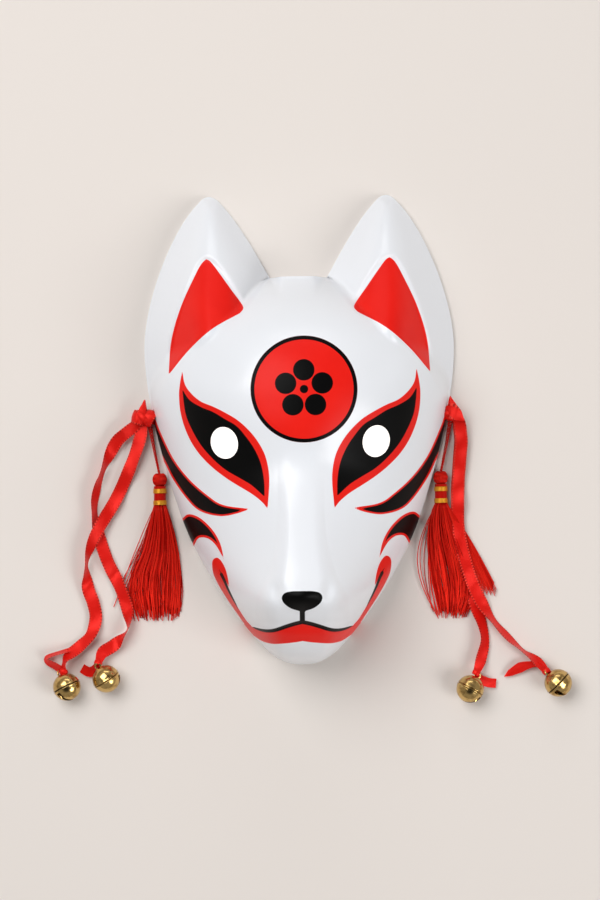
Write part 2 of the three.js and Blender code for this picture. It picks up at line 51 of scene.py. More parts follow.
# Camera: straight over the face, as far off as a portrait lens, with the photograph's slight roll
IMAGE_HEIGHT_PX = 900
PX = 0.55
CAMERA_HEIGHT = 2200.0
CAMERA_X = -0.2
CAMERA_Y = -11.0
CAMERA_ROLL = math.radians(0.68)
SENSOR_WIDTH = 36.0
CLIP_END = 20.0

SHELL_LOW, SHELL_HIGH = [np.array(corner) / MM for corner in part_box("mask_shell")]


def srgb(code):
    """A colour written as sRGB hex, in the linear values that the shader takes."""
    parts = [int(code[i : i + 2], 16) / 255 for i in (0, 2, 4)]
    return tuple(c / 12.92 if c <= 0.04045 else ((c + 0.055) / 1.055) ** 2.4 for c in parts) + (1.0,)


# Objects and camera
def new_object(name, data):
    """An object in the scene for a mesh, a camera or a light."""
    thing = bpy.data.objects.new(name, data)
    bpy.context.collection.objects.link(thing)
    return thing


def make_camera():
    data = bpy.data.cameras.new("camera")
    data.sensor_width = SENSOR_WIDTH
    data.lens = SENSOR_WIDTH * CAMERA_HEIGHT / (IMAGE_HEIGHT_PX * PX)
    data.clip_end = CLIP_END
    camera = new_object("camera", data)
    camera.location = (CAMERA_X * MM, CAMERA_Y * MM, CAMERA_HEIGHT * MM)
    camera.rotation_euler = (0.0, 0.0, -CAMERA_ROLL)
    bpy.context.scene.camera = camera


# Meshes
def new_piece(name, points_mm, faces, material):
    """A smooth mesh object from points in millimetres, riding on the part's one body."""
    mesh = bpy.data.meshes.new(name)
    mesh.from_pydata((np.asarray(points_mm, float) * MM).tolist(), [], faces)
    mesh.validate()
    mesh.polygons.foreach_set("use_smooth", [True] * len(mesh.polygons))
    mesh.materials.append(material)
    piece = new_object(name, mesh)
    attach(piece, "root")
    return piece


def places_of(piece):
    """A piece's points, in millimetres."""
    places = np.empty(len(piece.data.vertices) * 3)
    piece.data.vertices.foreach_get("co", places)
    return places.reshape(-1, 3) / MM


def set_values(piece, name, values):
    """A value or a vector at each point of a piece, for its material to read."""
    is_vector = values.ndim == 2
    layer = piece.data.attributes.new(name, "FLOAT_VECTOR" if is_vector else "FLOAT", "POINT")
    layer.data.foreach_set("vector" if is_vector else "value", values.ravel())


def even_turns(count):
    """Angles at even steps round a circle."""
    return np.linspace(0, 2 * math.pi, count, endpoint=False)


def unit(vectors):
    """The same vectors, each made 1 long."""
    return vectors / np.linalg.norm(vectors, axis=-1, keepdims=True)


# Nodes
def add_node(tree, kind, settings=None, inputs=None, links=None):
    """Adds one shader node, sets its properties and sockets, and links its inputs."""
    node = tree.nodes.new(kind)
    for key, value in (settings or {}).items():
        setattr(node, key, value)
    for key, value in (inputs or {}).items():
        node.inputs[key].default_value = value
    for key, socket in (links or {}).items():
        tree.links.new(socket, node.inputs[key])
    return node


def new_material(name, values=None):
    """A material with fixed values at its shader's sockets."""
    material = bpy.data.materials.new(name)
    material.use_nodes = True
    tree = material.node_tree
    shader = tree.nodes["Principled BSDF"]
    for key, value in (values or {}).items():
        shader.inputs[key].default_value = value
    return material, tree, shader


# The silhouette of the shell, drawn at the shell's own size as cubic curves down its right side
TOP_EDGE = [(0, 83.6), (5, 83.6), (10, 83.6), (15.7, 83.6)]
EAR_INNER = [(15.7, 83.6), (23.5, 98), (33, 115), (42.6, 125.2)]
EAR_TIP = [(42.6, 125.2), (46.4, 129.87), (51, 129.87), (54.5, 125.2)]
EAR_OUTER = [(54.5, 125.2), (68.5, 112), (85.1, 72), (85.1, 45)]
TEMPLE = [(85.1, 45), (85.1, 18), (75, -20), (65.2, -48.4)]
JAW = [(65.2, -48.4), (57.4, -71.1), (36.9, -102.9), (20.1, -119.9)]
CHIN = [(20.1, -119.9), (13.5, -126.2), (7, -128.7), (0, -128.7)]
DRAWN_SIZE = np.array([170.2, 257.4, 90.96])
STRETCH = (SHELL_HIGH - SHELL_LOW) / DRAWN_SIZE

# Edge of the hollow in the front of the ear
HOLLOW = [
    [(48.9, 92.3), (44, 91.4), (35.4, 76.5), (30.9, 67.6)],
    [(30.9, 67.6), (29.5, 64.6), (30.4, 63.2), (32.3, 62.1)],
    [(32.3, 62.1), (47, 55.6), (62.8, 45), (70.8, 30.3)],
    [(70.8, 30.3), (70.3, 51), (61.1, 76.6), (53.9, 88.9)],
    [(53.9, 88.9), (52.2, 91.7), (50.9, 92.7), (48.9, 92.3)],
]

# Crease where the forehead meets the ear
CREASE = [
    [(15.7, 83.6), (19.8, 77.5), (25.6, 68), (31.4, 63)],
    [(31.4, 63), (46, 57), (62.8, 45), (70.8, 30.3)],
    [(70.8, 30.3), (75, 22.5), (79.5, 14.5), (84, 4)],
]

# Stations along the face, each a place on Y and a value there
FACE_HEIGHT = [
    (-128.7, 0), (-126.5, 22), (-122, 38), (-115, 50), (-100, 58), (-80, 60),
    (-50, 60), (-25, 64), (0, 70.6), (15, 71.5), (30, 70.6),
]
SNOUT_HEIGHT = [
    (-128.7, 0), (-127.3, 22), (-123.5, 42), (-117, 58), (-109.6, 69), (-104.2, 74), (-99.7, 80),
    (-93.7, 85.5), (-86.8, 88.5), (-77.2, 88), (-58.2, 80.5), (-43.9, 74), (-32.3, 68), (-20, 60), (0, 44),
    (20, 25),
]
SNOUT_HALF_WIDTH = [
    (-128.7, 20), (-116, 23), (-102, 25), (-89, 24), (-77, 18.2), (-58, 13.4), (-39, 12.5), (0, 12),
]
SNOUT_FALL = [(-128.7, 1.2), (-100, 1.5), (-80, 1.35), (-50, 1.1), (0, 0.9)]

# The shell's wall, and a length that counts as nothing
WALL = 2.5
TINY = 1e-6

# The dome of the face: its middle and top on Y, and how round it is in plan, in profile and across
DOME_MIDDLE = 15.0
DOME_TOP = 84.2
DOME_PLAN = (2.2, 0.455)
DOME_PROFILE = (2.3, 0.58)
DOME_ACROSS = (2, 0.63)
DOME_FALL_TO_EAR = 0.7

# The ridge of the snout, which ends below the ears
SNOUT_FLAT = 0.45
SNOUT_CROWN = 0.012
SNOUT_BEND = 11
SNOUT_END_DROP = 30
SNOUT_END_X = (8, 20)
SNOUT_END_Y = (38, 66)

# The ears: height at the edge and slope of each flank, and the ridge between them
INNER_FLANK = (2, 1.7)
OUTER_FLANK = (2.5, 1.45)
EAR_RIDGE_X = 49.0
EAR_RIDGE_Y = 128
EAR_RIDGE_HEIGHT = 13
EAR_RIDGE_SLOPE = 0.5
EAR_RIDGE_BEND = 0.02
EAR_FALL_TO_FACE = 1.5
EAR_FOOT = (-15, 25)
HOLLOW_DEPTH = 2.6
HOLLOW_EDGE = (-2.8, 0.4)

# How softly the forms run into each other
FLANK_BLEND = 9
RIDGE_BLEND = 8
SNOUT_BLEND = 18
EAR_BLEND = 3.5

# Small forms, each as (height, x, y, reach on X, reach on Y)
SMALL_FORMS = {
    "nose": (4.5, 0, -88.6, 10, 6.5),
    "muzzle pad": (4, 20.3, -91.3, 9.5, 10),
    "nostril": (-2.6, 13.6, -86, 3.4, 5),
    "groove under the nose": (-1.3, 0, -99.8, 1.6, 4),
    "hollow over the eye": (-1.5, 44.8, 34.7, 13, 11),
    "hollow of the eye": (-3.2, 41, -7.2, 20, 15),
}

# The step under the line of the mouth
MOUTH_STEP = 1.6
MOUTH_STEP_HALF_WIDTH = 0.8
MOUTH_Y = -102.6
MOUTH_DIP = 3.4
MOUTH_LIFT = 1.8
MOUTH_END_X = (33, 25)
MOUTH_END_Y = (-123, -111)

# Least heights of the front, of the back and of the grooved front, and the mould's groove inside the rim
LEAST_FRONT = 1
LEAST_BACK = 0.4
LEAST_GROOVED = 0.3
GROOVE_DEPTH = 0.12
GROOVE_PLACE = 1.3
GROOVE_REACH = 0.5

# Places on a ball that rolls under the front face
BALL_TILTS = (0.35, 0.7, 1.05, 1.35, math.pi / 2)
BALL_TURNS = 12


def curve_points(curve, steps):
    t = np.linspace(0, 1, steps + 1)[:, None]
    a, b, c, d = [np.array(p, float) for p in curve]
    return (1 - t) ** 3 * a + 3 * t * (1 - t) ** 2 * b + 3 * t**2 * (1 - t) * c + t**3 * d


def chain(curves, steps=16):
    parts = [curve_points(curves[0], steps)]
    parts += [curve_points(curve, steps)[1:] for curve in curves[1:]]
    return np.vstack(parts)


def distance_to(line, x, y):
    """Distance from points to a line of short straight steps."""
    best = np.full(np.shape(x), 1e9)
    for (ax, ay), (bx, by) in zip(line[:-1], line[1:]):
        dx, dy = bx - ax, by - ay
        t = np.clip(((x - ax) * dx + (y - ay) * dy) / (dx * dx + dy * dy), 0, 1)
        best = np.minimum(best, np.hypot(x - ax - t * dx, y - ay - t * dy))
    return best


def is_inside(outline, x, y):
    inside = np.zeros(np.shape(x), bool)
    for (px, py), (qx, qy) in zip(outline, np.roll(outline, 1, axis=0)):
        if py == qy:
            continue
        crosses = (py > y) != (qy > y)
        inside ^= crosses & (x < (qx - px) * (y - py) / (qy - py) + px)
    return inside


def depth_inside(outline, x, y):
    """Distance from a closed outline, positive inside it and negative outside."""
    closed = np.vstack([outline, outline[:1]])
    keep = np.hypot(*np.diff(closed, axis=0).T) > TINY
    closed = np.vstack([closed[:-1][keep], closed[-1:]])
    return distance_to(closed, x, y) * np.where(is_inside(outline, x, y), 1, -1)


def smooth_max(a, b, blend):
    near = np.maximum(blend - np.abs(a - b), 0) / blend
    return np.maximum(a, b) + near**2 * blend / 4


def smooth_min(a, b, blend):
    return -smooth_max(-a, -b, blend)


def bump(x, y, centre_x, centre_y, reach_x, reach_y):
    return np.exp(-(((x - centre_x) / reach_x) ** 2) - ((y - centre_y) / reach_y) ** 2)


def rise(start, end, value):
    t = np.clip((value - start) / (end - start), 0, 1)
    return t * t * (3 - 2 * t)


def along(stations, place):
    """Smooth curve through stations, with each tangent taken from the stations on either side."""
    p, v = np.array(stations, float).T
    tangent = np.empty(len(p))
    tangent[1:-1] = (v[2:] - v[:-2]) / (p[2:] - p[:-2])
    tangent[0] = (v[1] - v[0]) / (p[1] - p[0])
    tangent[-1] = (v[-1] - v[-2]) / (p[-1] - p[-2])
    place = np.clip(place, p[0], p[-1])
    i = np.clip(np.searchsorted(p, place) - 1, 0, len(p) - 2)
    span = p[i + 1] - p[i]
    t = (place - p[i]) / span
    start = (2 * t**3 - 3 * t**2 + 1) * v[i] + (t**3 - 2 * t**2 + t) * span * tangent[i]
    end = (3 * t**2 - 2 * t**3) * v[i + 1] + (t**3 - t**2) * span * tangent[i + 1]
    return start + end


HALF_OUTLINE = chain([TOP_EDGE, EAR_INNER, EAR_TIP, EAR_OUTER, TEMPLE, JAW, CHIN])
OUTLINE = np.vstack([HALF_OUTLINE, HALF_OUTLINE[-2:0:-1] * [-1, 1]])
TIP_TOP = curve_points(EAR_TIP, 16)
EAR_INNER_LINE = np.vstack([curve_points(EAR_INNER, 16), TIP_TOP[1:9]])
EAR_OUTER_LINE = np.vstack([TIP_TOP[8:], chain([EAR_OUTER, TEMPLE])[1:]])
HOLLOW_LINE = chain(HOLLOW)
CREASE_LINE = chain(CREASE)
EAR_SIDE = np.vstack([CREASE_LINE, [(130, 4), (130, 160), (15.7, 160)]])
LOWER_EDGE = chain([TEMPLE, JAW, CHIN])


def half_width(y):
    return np.interp(y, LOWER_EDGE[::-1, 1], LOWER_EDGE[::-1, 0])


def rounded(share, power, root):
    """1 in the middle and 0 at a share of 1, along a round curve."""
    return (1 - share**power) ** root


def face_height(x, y, crease_side):
    """Forehead and cheeks: a dome over the width of the face."""
    up = np.clip((y - DOME_MIDDLE) / (DOME_TOP - DOME_MIDDLE), 0, 0.9999)
    width = half_width(np.minimum(y, EAR_OUTER[3][1])) * rounded(up, *DOME_PLAN)
    middle = along(FACE_HEIGHT, np.minimum(y, DOME_MIDDLE)) * rounded(up, *DOME_PROFILE)
    across = np.minimum(x / np.maximum(width, TINY), 1)
    dome = middle * rounded(across, *DOME_ACROSS)
    return dome - DOME_FALL_TO_EAR * np.maximum(0, crease_side) * rise(5, 40, y)


def snout_height(x, y):
    """A rounded ridge that grows out between the eyes and ends in the muzzle."""
    flat = along(SNOUT_HALF_WIDTH, y)
    out = np.maximum(0, x - flat * SNOUT_FLAT)
    below_ears = SNOUT_END_DROP * rise(*SNOUT_END_X, x) * rise(*SNOUT_END_Y, y)
    crown = along(SNOUT_HEIGHT, y) - SNOUT_CROWN * np.minimum(x, flat) ** 2 - below_ears
    across = np.minimum(x / np.maximum(half_width(y), TINY), 1)
    return (crown - along(SNOUT_FALL, y) * out**2 / (out + SNOUT_BEND)) * np.sqrt(1 - across**5)


def ear_height(x, y, crease_side):
    """Flanks rise from both edges of the ear to a ridge, and a hollow is sunk in its front."""
    inner_flank = INNER_FLANK[0] + INNER_FLANK[1] * distance_to(EAR_INNER_LINE, x, y)
    outer_flank = OUTER_FLANK[0] + OUTER_FLANK[1] * distance_to(EAR_OUTER_LINE, x, y)
    ridge = EAR_RIDGE_HEIGHT + (EAR_RIDGE_Y - y) * EAR_RIDGE_SLOPE - EAR_RIDGE_BEND * (x - EAR_RIDGE_X) ** 2
    in_hollow = depth_inside(HOLLOW_LINE[:-1], x, y)
    ear = smooth_min(smooth_min(inner_flank, outer_flank, FLANK_BLEND), ridge, RIDGE_BLEND)
    ear = ear - EAR_FALL_TO_FACE * np.maximum(0, -crease_side) - HOLLOW_DEPTH * rise(*HOLLOW_EDGE, in_hollow)
    return ear * rise(*EAR_FOOT, y)


def drawn_height(x, y):
    """Height of the front face over the rim's plane, at the drawn size."""
    x = np.abs(x)
    crease_side = distance_to(CREASE_LINE, x, y) * np.where(is_inside(EAR_SIDE, x, y), 1, -1)
    z = smooth_max(face_height(x, y, crease_side), snout_height(x, y), SNOUT_BLEND)
    z = smooth_max(z, ear_height(x, y, crease_side), EAR_BLEND)
    for height, *place in SMALL_FORMS.values():
        z = z + height * bump(x, y, *place)
    mouth_y = MOUTH_Y - MOUTH_DIP * rise(0, 16.5, x) + MOUTH_LIFT * rise(17.5, 29, x)
    lip = rise(MOUTH_STEP_HALF_WIDTH, -MOUTH_STEP_HALF_WIDTH, y - mouth_y)
    z = z - MOUTH_STEP * lip * rise(*MOUTH_END_X, x) * rise(*MOUTH_END_Y, y)
    return np.maximum(z, LEAST_FRONT)


def front_height(x, y):
    drawn_x, drawn_y = x / STRETCH[0], y / STRETCH[1]
    inside = is_inside(OUTLINE, drawn_x, drawn_y)
    return np.where(inside, drawn_height(drawn_x, drawn_y) * STRETCH[2], 0)


def back_height(x, y):
    """The back face lies one wall behind the front: a ball of that radius rolls under the front face."""
    lowest = front_height(x, y) - WALL
    for tilt in BALL_TILTS:
        reach, drop = WALL * math.sin(tilt), WALL * math.cos(tilt)
        for turn in np.arange(BALL_TURNS) * math.pi / (BALL_TURNS / 2):
            beside = front_height(x + reach * math.cos(turn), y + reach * math.sin(turn))
            lowest = np.minimum(lowest, beside - drop)
    return np.maximum(lowest, LEAST_BACK)


def visual_height(x, y):
    """The front face with the shallow groove that the mould leaves inside its edge."""
    drawn_x, drawn_y = x / STRETCH[0], y / STRETCH[1]
    from_rim = depth_inside(OUTLINE, drawn_x, drawn_y)
    groove = GROOVE_DEPTH * bump(from_rim, 0, GROOVE_PLACE, 0, GROOVE_REACH, 1)
    return np.maximum(front_height(x, y) - groove, LEAST_GROOVED)


# Lines and marks drawn through listed points
def through(points, steps=8):
    """A smooth line through a few points."""
    p = np.array(points, float)
    ends = np.vstack([2 * p[0] - p[1], p, 2 * p[-1] - p[-2]])
    t = np.linspace(0, 1, steps, endpoint=False)[:, None]
    parts = []
    for a, b, c, d in zip(ends[:-3], ends[1:-2], ends[2:-1], ends[3:]):
        cubic = 3 * b - a - 3 * c + d
        parts.append((2 * b + (c - a) * t + (2 * a - 5 * b + 4 * c - d) * t**2 + cubic * t**3) / 2)
    return np.vstack(parts + [p[-1:]])


def closed(*lines):
    """A closed outline from smooth lines that meet in corners."""
    return np.vstack([through(line)[:-1] for line in lines])


def mirrored_about_middle(line):
    half = through(line)
    return np.vstack([half, half[-2:0:-1] * [-1, 1]])


# Painted marks on the right half, as they look from the camera on the plane of the rim
EAR_PATCH = closed(
    [(50.5, 94.6), (48.0, 93.0), (43.5, 87), (36.5, 77), (31.6, 70.2), (30.4, 67.2), (32.3, 64.7)],
    [(32.3, 64.7), (47.8, 56.1), (60.6, 44.7), (72.0, 31.1)],
    [(72.0, 31.1), (70.3, 50), (65, 68), (57.4, 84.5), (53.4, 91.8), (50.5, 94.6)],
)
EYE_RED = closed(
    [(64.4, 33.5), (63.2, 26.3), (60, 21.2), (54.5, 16.4), (47.8, 13.5), (41.2, 10.1), (34.4, 5.9),
     (28.3, 0.3), (23.3, -6.1), (19.5, -13.5), (17.6, -21.8), (17.3, -29.8), (18.4, -43.2)],
    [(18.4, -43.2), (21.5, -39.3), (26.9, -34.9), (33.7, -30.7), (41.1, -25.9), (48.2, -20.3), (54.7, -13.7),
     (59.8, -6.3), (63.6, 2.4), (65.8, 11.2), (66.4, 20), (65.8, 26.4), (64.4, 33.5)],
)
EYE_BLACK = closed(
    [(64.6, 23.2), (60.6, 17.2), (54.4, 13.3), (47.8, 10.5), (41.3, 6.5), (35, 2.6), (29.5, -3.8),
     (25, -10.7), (21.8, -18.4), (20.2, -27.3), (20, -36.5)],
    [(20, -36.5), (26.9, -30.2), (33.6, -26), (41.1, -21.5), (48.1, -15.4), (54.7, -7.6), (59.7, 1.3),
     (63, 10.1), (64.6, 23.2)],
)
LONG_STRIPE = closed(
    [(88, 24), (80, 8), (77.3, 0.9), (70.1, -14.6), (61.5, -26.2), (51.7, -35.1), (42.9, -40.7),
     (28.1, -43.1)],
    [(28.1, -43.1), (36.4, -45.8), (45.2, -46.8), (55.6, -43.9), (62.7, -37.2), (70.3, -26.1),
     (76.7, -13.4), (88, 6)],
    [(88, 6), (94, 18), (88, 24)],
)
SHORT_STRIPE = closed(
    [(72, -54), (65.5, -48), (61.7, -45.6), (55.7, -47.7), (49.2, -53.9), (44.8, -61.6), (42.6, -71)],
    [(42.6, -71), (47.1, -62.9), (51.6, -59.0), (56.2, -58.7), (58.6, -62), (61, -68)],
    [(61, -68), (70, -62), (72, -54)],
)
CHEEK_HOOK = closed(
    [(40, -86.4), (40.6, -81.5), (42, -75.8), (44.3, -71.4), (46.8, -69.6), (49.2, -71.8), (48.8, -78),
     (46.6, -83.4), (43.6, -88.8), (40.2, -94.2), (36.4, -99.8), (32.6, -105.4), (28.8, -110)],
    [(28.8, -110), (27.6, -108.2), (30.9, -104.3), (34.6, -98.5), (37.9, -93.2), (40.3, -89), (42.3, -84.6),
     (44, -79.2)],
    [(44, -79.2), (42.2, -82), (40.9, -84.6), (40, -86.4)],
)
MOUTH = [
    (0, -105.6), (4.7, -106.7), (9.6, -108.2), (14.6, -109.8), (18.5, -110.3), (22.9, -109.7), (27.6, -108.0),
]
LIP = closed(
    [(0, -105.6)] + MOUTH[1:],
    [(27.6, -108), (31.5, -106.4)],
    [(31.5, -106.4), (38, -106)],
    [(38, -106), (28.5, -111.8), (26.2, -113.3), (23.5, -115.2), (20.5, -116.6), (15.8, -117.5),
     (9.7, -117.3), (3.7, -116.7), (0, -116.1)],
    [(0, -116.1), (-4, -111), (0, -105.6)],
)
CHEEK_LINE = [(44.3, -78.8), (42.6, -82.4), (40.9, -86.6), (39.0, -90.6), (37, -94.4), (35.2, -97.8)]
NOSE = mirrored_about_middle([
    (0, -88.6), (5.8, -88.7), (9.5, -89.6), (11.2, -91.9), (10.2, -95.0), (6.6, -97.9),
    (1.8, -99.5), (0, -99.7),
])
PHILTRUM_HALF_WIDTH = 1.45
PHILTRUM_Y = (-98.5, -106.0)
LONG_STRIPE_BORDER = 0.95
SHORT_STRIPE_BORDER = 1.25
MOUTH_HALF_WIDTH = 1.1
CHEEK_HALF_WIDTH = 0.85
CHEEK_TAPER = 0.6
LINE_REACH = 3.5
RIM_PAINT = 0.5
FRONT_SLACK = 1.0
FAR_OUTSIDE = -20.0
FAR_FROM_BADGE = 99.0

# Round badge on the forehead, with a plain five-petalled blossom on it
BADGE_CENTRE = (2.4, 22.5)
BADGE_RADIUS = 29.4
BADGE_RING = 2.1
PETALS = 5
PETAL_RADIUS = 5.9
PETAL_REACH = 10.6
BLOSSOM_EYE_OUTER = 4.6
BLOSSOM_EYE_INNER = 2.3


def on_drawing_plane(points):
    """Where the camera sees points on the plane of the rim."""
    grow = CAMERA_HEIGHT / (CAMERA_HEIGHT - points[:, 2])
    return points[:, 0] * grow, (points[:, 1] - CAMERA_Y) * grow + CAMERA_Y


def distance_and_share(line, x, y):
    """Signed distance across a line, and how far along it the nearest place is, from 0 to 1."""
    best = np.full(np.shape(x), 1e9)
    side = np.zeros(np.shape(x))
    share = np.zeros(np.shape(x))
    count = len(line) - 1
    for i, ((ax, ay), (bx, by)) in enumerate(zip(line[:-1], line[1:])):
        dx, dy = bx - ax, by - ay
        t = np.clip(((x - ax) * dx + (y - ay) * dy) / (dx * dx + dy * dy), 0, 1)
        d = np.hypot(x - ax - t * dx, y - ay - t * dy)
        nearer = d < best
        best = np.where(nearer, d, best)
        side = np.where(nearer, np.sign((x - ax) * dy - (y - ay) * dx), side)
        share = np.where(nearer, (i + t) / count, share)
    return best * side, share


def paint_values(points):
    """Values at the shell's points that the lacquer's shader turns into crisp painted edges."""
    x_signed, y = on_drawing_plane(points)
    x = np.abs(x_signed)
    long_stripe = depth_inside(LONG_STRIPE, x, y)
    short_stripe = depth_inside(SHORT_STRIPE, x, y)
    red = np.maximum.reduce([
        depth_inside(EAR_PATCH, x, y), depth_inside(EYE_RED, x, y), long_stripe, short_stripe,
        depth_inside(CHEEK_HOOK, x, y), depth_inside(LIP, x, y),
    ])
    philtrum = np.minimum(PHILTRUM_HALF_WIDTH - x, np.minimum(PHILTRUM_Y[0] - y, y - PHILTRUM_Y[1]))
    black = np.maximum.reduce([
        depth_inside(EYE_BLACK, x, y), long_stripe - LONG_STRIPE_BORDER, short_stripe - SHORT_STRIPE_BORDER,
        depth_inside(NOSE, x, y), philtrum,
    ])
    mouth, mouth_share = distance_and_share(through(MOUTH), x, y)
    cheek, cheek_share = distance_and_share(through(CHEEK_LINE), x, y)
    mouth_half = MOUTH_HALF_WIDTH * np.sqrt(np.clip(1 - mouth_share**3, 0, 1))
    cheek_half = CHEEK_HALF_WIDTH * np.clip(1 - cheek_share, 0, 1) ** CHEEK_TAPER
    use_mouth = np.abs(mouth) - mouth_half < np.abs(cheek) - cheek_half
    across = np.where(use_mouth, mouth, cheek)
    half = np.where(use_mouth, mouth_half, cheek_half)
    badge = np.stack([x_signed - BADGE_CENTRE[0], y - BADGE_CENTRE[1], np.zeros_like(y)], axis=1)
    drawn_x, drawn_y = points[:, 0] / STRETCH[0], points[:, 1] / STRETCH[1]
    at_rim = depth_inside(OUTLINE, drawn_x, drawn_y) < RIM_PAINT
    front = at_rim | (points[:, 2] > visual_height(points[:, 0], points[:, 1]) - FRONT_SLACK)
    badge[~front] = FAR_FROM_BADGE
    return {
        "paint_red": np.where(front, red, FAR_OUTSIDE),
        "paint_black": np.where(front, black, FAR_OUTSIDE),
        "line_across": across,
        "line_half": np.where(front & (np.abs(across) < LINE_REACH), half, FAR_OUTSIDE),
        "badge": badge,
    }


# Materials
def smooth_step(tree, socket, start, end):
    """0 below start, 1 above end, smooth in between."""
    node = add_node(tree, "ShaderNodeMapRange", {"interpolation_type": "SMOOTHSTEP"},
                    {"From Min": start, "From Max": end}, {"Value": socket})
    return node.outputs["Result"]


def calculate(tree, operation, a, b=None):
    """One sum on sockets or plain numbers."""
    node = add_node(tree, "ShaderNodeMath", {"operation": operation})
    for i, value in enumerate([a, b]):
        if isinstance(value, (int, float)):
            node.inputs[i].default_value = value
        elif value is not None:
            tree.links.new(value, node.inputs[i])
    return node.outputs["Value"]


def mix_colour(tree, share, a, b):
    """Colour a where share is 0 and b where it is 1; a and b are sockets or colours."""
    node = add_node(tree, "ShaderNodeMix", {"data_type": "RGBA"}, links={"Factor": share})
    for key, value in ((6, a), (7, b)):
        if isinstance(value, tuple):
            node.inputs[key].default_value = value
        else:
            tree.links.new(value, node.inputs[key])
    return node.outputs[2]


def attribute(tree, name, output="Fac"):
    return add_node(tree, "ShaderNodeAttribute", {"attribute_name": name}).outputs[output]


def object_millimetres(tree):
    """Object coordinates in millimetres."""
    place = add_node(tree, "ShaderNodeTexCoord").outputs["Object"]
    scaled = add_node(tree, "ShaderNodeVectorMath", {"operation": "SCALE"}, {"Scale": 1 / MM},
                      {"Vector": place})
    return scaled.outputs["Vector"]


def noise(tree, scale, detail):
    """Cloudy noise over the piece's own millimetres."""
    node = add_node(tree, "ShaderNodeTexNoise", inputs={"Scale": scale, "Detail": detail},
                    links={"Vector": object_millimetres(tree)})
    return node.outputs["Fac"]


def map_range(tree, socket, low, high, clamp=True):
    """A value of 0 to 1 turned into one from low to high."""
    node = add_node(tree, "ShaderNodeMapRange", {"clamp": clamp}, {"To Min": low, "To Max": high},
                    {"Value": socket})
    return node.outputs["Result"]


def set_relief(tree, shader, height):
    """Fine relief on the surface from a height in millimetres."""
    relief = add_node(tree, "ShaderNodeBump", inputs={"Strength": 1.0, "Distance": MM},
                      links={"Height": height})
    tree.links.new(relief.outputs["Normal"], shader.inputs["Normal"])


WHITE = srgb("E9ECF1")
BLACK = srgb("060606")
EDGE = 0.14
PAINT_RELIEF = 0.05
PEEL_RELIEF = 0.035
LACQUER_ROUGHNESS = (0.27, 0.4)
LACQUER_SHINE = (0.5, 0.07)
DULL_IN_RED = 0.85


def crisp(tree, socket):
    """1 inside a painted mark and 0 outside it, with an edge as soft as a brush leaves."""
    return smooth_step(tree, socket, -EDGE, EDGE)


def greatest(tree, sockets):
    most = sockets[0]
    for socket in sockets[1:]:
        most = calculate(tree, "MAXIMUM", most, socket)
    return most


def badge_masks(tree):
    """Where the round badge is, and where its ring and its blossom are black."""
    badge = attribute(tree, "badge", "Vector")
    length = add_node(tree, "ShaderNodeVectorMath", {"operation": "LENGTH"}, links={"Vector": badge})
    radius = length.outputs["Value"]
    disc = crisp(tree, calculate(tree, "SUBTRACT", BADGE_RADIUS, radius))
    ring = crisp(tree, calculate(tree, "SUBTRACT", radius, BADGE_RADIUS - BADGE_RING))
    petals = []
    for i in range(PETALS):
        angle = math.radians(90 + i * 360 / PETALS)
        centre = (PETAL_REACH * math.cos(angle), PETAL_REACH * math.sin(angle), 0)
        away = add_node(tree, "ShaderNodeVectorMath", {"operation": "DISTANCE"}, {1: centre}, {0: badge})
        petals.append(calculate(tree, "SUBTRACT", PETAL_RADIUS, away.outputs["Value"]))
    past_eye = calculate(tree, "SUBTRACT", radius, BLOSSOM_EYE_OUTER)
    ringed_petals = calculate(tree, "MINIMUM", greatest(tree, petals), past_eye)
    eye = calculate(tree, "SUBTRACT", BLOSSOM_EYE_INNER, radius)
    blossom = crisp(tree, calculate(tree, "MAXIMUM", ringed_petals, eye))
    return disc, calculate(tree, "MULTIPLY", disc, calculate(tree, "MAXIMUM", ring, blossom))


def lacquer_material():
    """White satin-gloss lacquer sprayed on a moulded shell, with red and black enamel painted by brush."""
    material, tree, shader = new_material("white lacquer with painted enamel")
    disc, badge_black = badge_masks(tree)
    across = calculate(tree, "ABSOLUTE", attribute(tree, "line_across"))
    line = crisp(tree, calculate(tree, "SUBTRACT", attribute(tree, "line_half"), across))
    red = greatest(tree, [crisp(tree, attribute(tree, "paint_red")), disc])
    black = greatest(tree, [crisp(tree, attribute(tree, "paint_black")), line, badge_black])
    painted = greatest(tree, [red, black])
    red_tone = mix_colour(tree, noise(tree, 0.05, 3.0), srgb("E0160E"), srgb("F02318"))
    colour = mix_colour(tree, red, WHITE, red_tone)
    tree.links.new(mix_colour(tree, black, colour, BLACK), shader.inputs["Base Color"])

    peel = calculate(tree, "MULTIPLY", noise(tree, 0.35, 2.0), PEEL_RELIEF)
    set_relief(tree, shader, calculate(tree, "ADD", calculate(tree, "MULTIPLY", painted, PAINT_RELIEF), peel))
    tree.links.new(map_range(tree, painted, *LACQUER_ROUGHNESS), shader.inputs["Roughness"])
    dull_in_black = calculate(tree, "MULTIPLY", black, 1 - DULL_IN_RED)
    dull = calculate(tree, "ADD", calculate(tree, "MULTIPLY", painted, DULL_IN_RED), dull_in_black)
    tree.links.new(map_range(tree, dull, *LACQUER_SHINE), shader.inputs["Specular IOR Level"])
    return material


RIB_PITCH = 0.32
RIB_RELIEF = 0.012
STITCH_PITCH = 1.6
STITCH_RELIEF = 0.12
SELVAGE = (2.55, 2.85)


def ripple(tree, length, pitch):
    """A wave along the ribbon."""
    return calculate(tree, "SINE", calculate(tree, "MULTIPLY", length, 2 * math.pi / pitch))


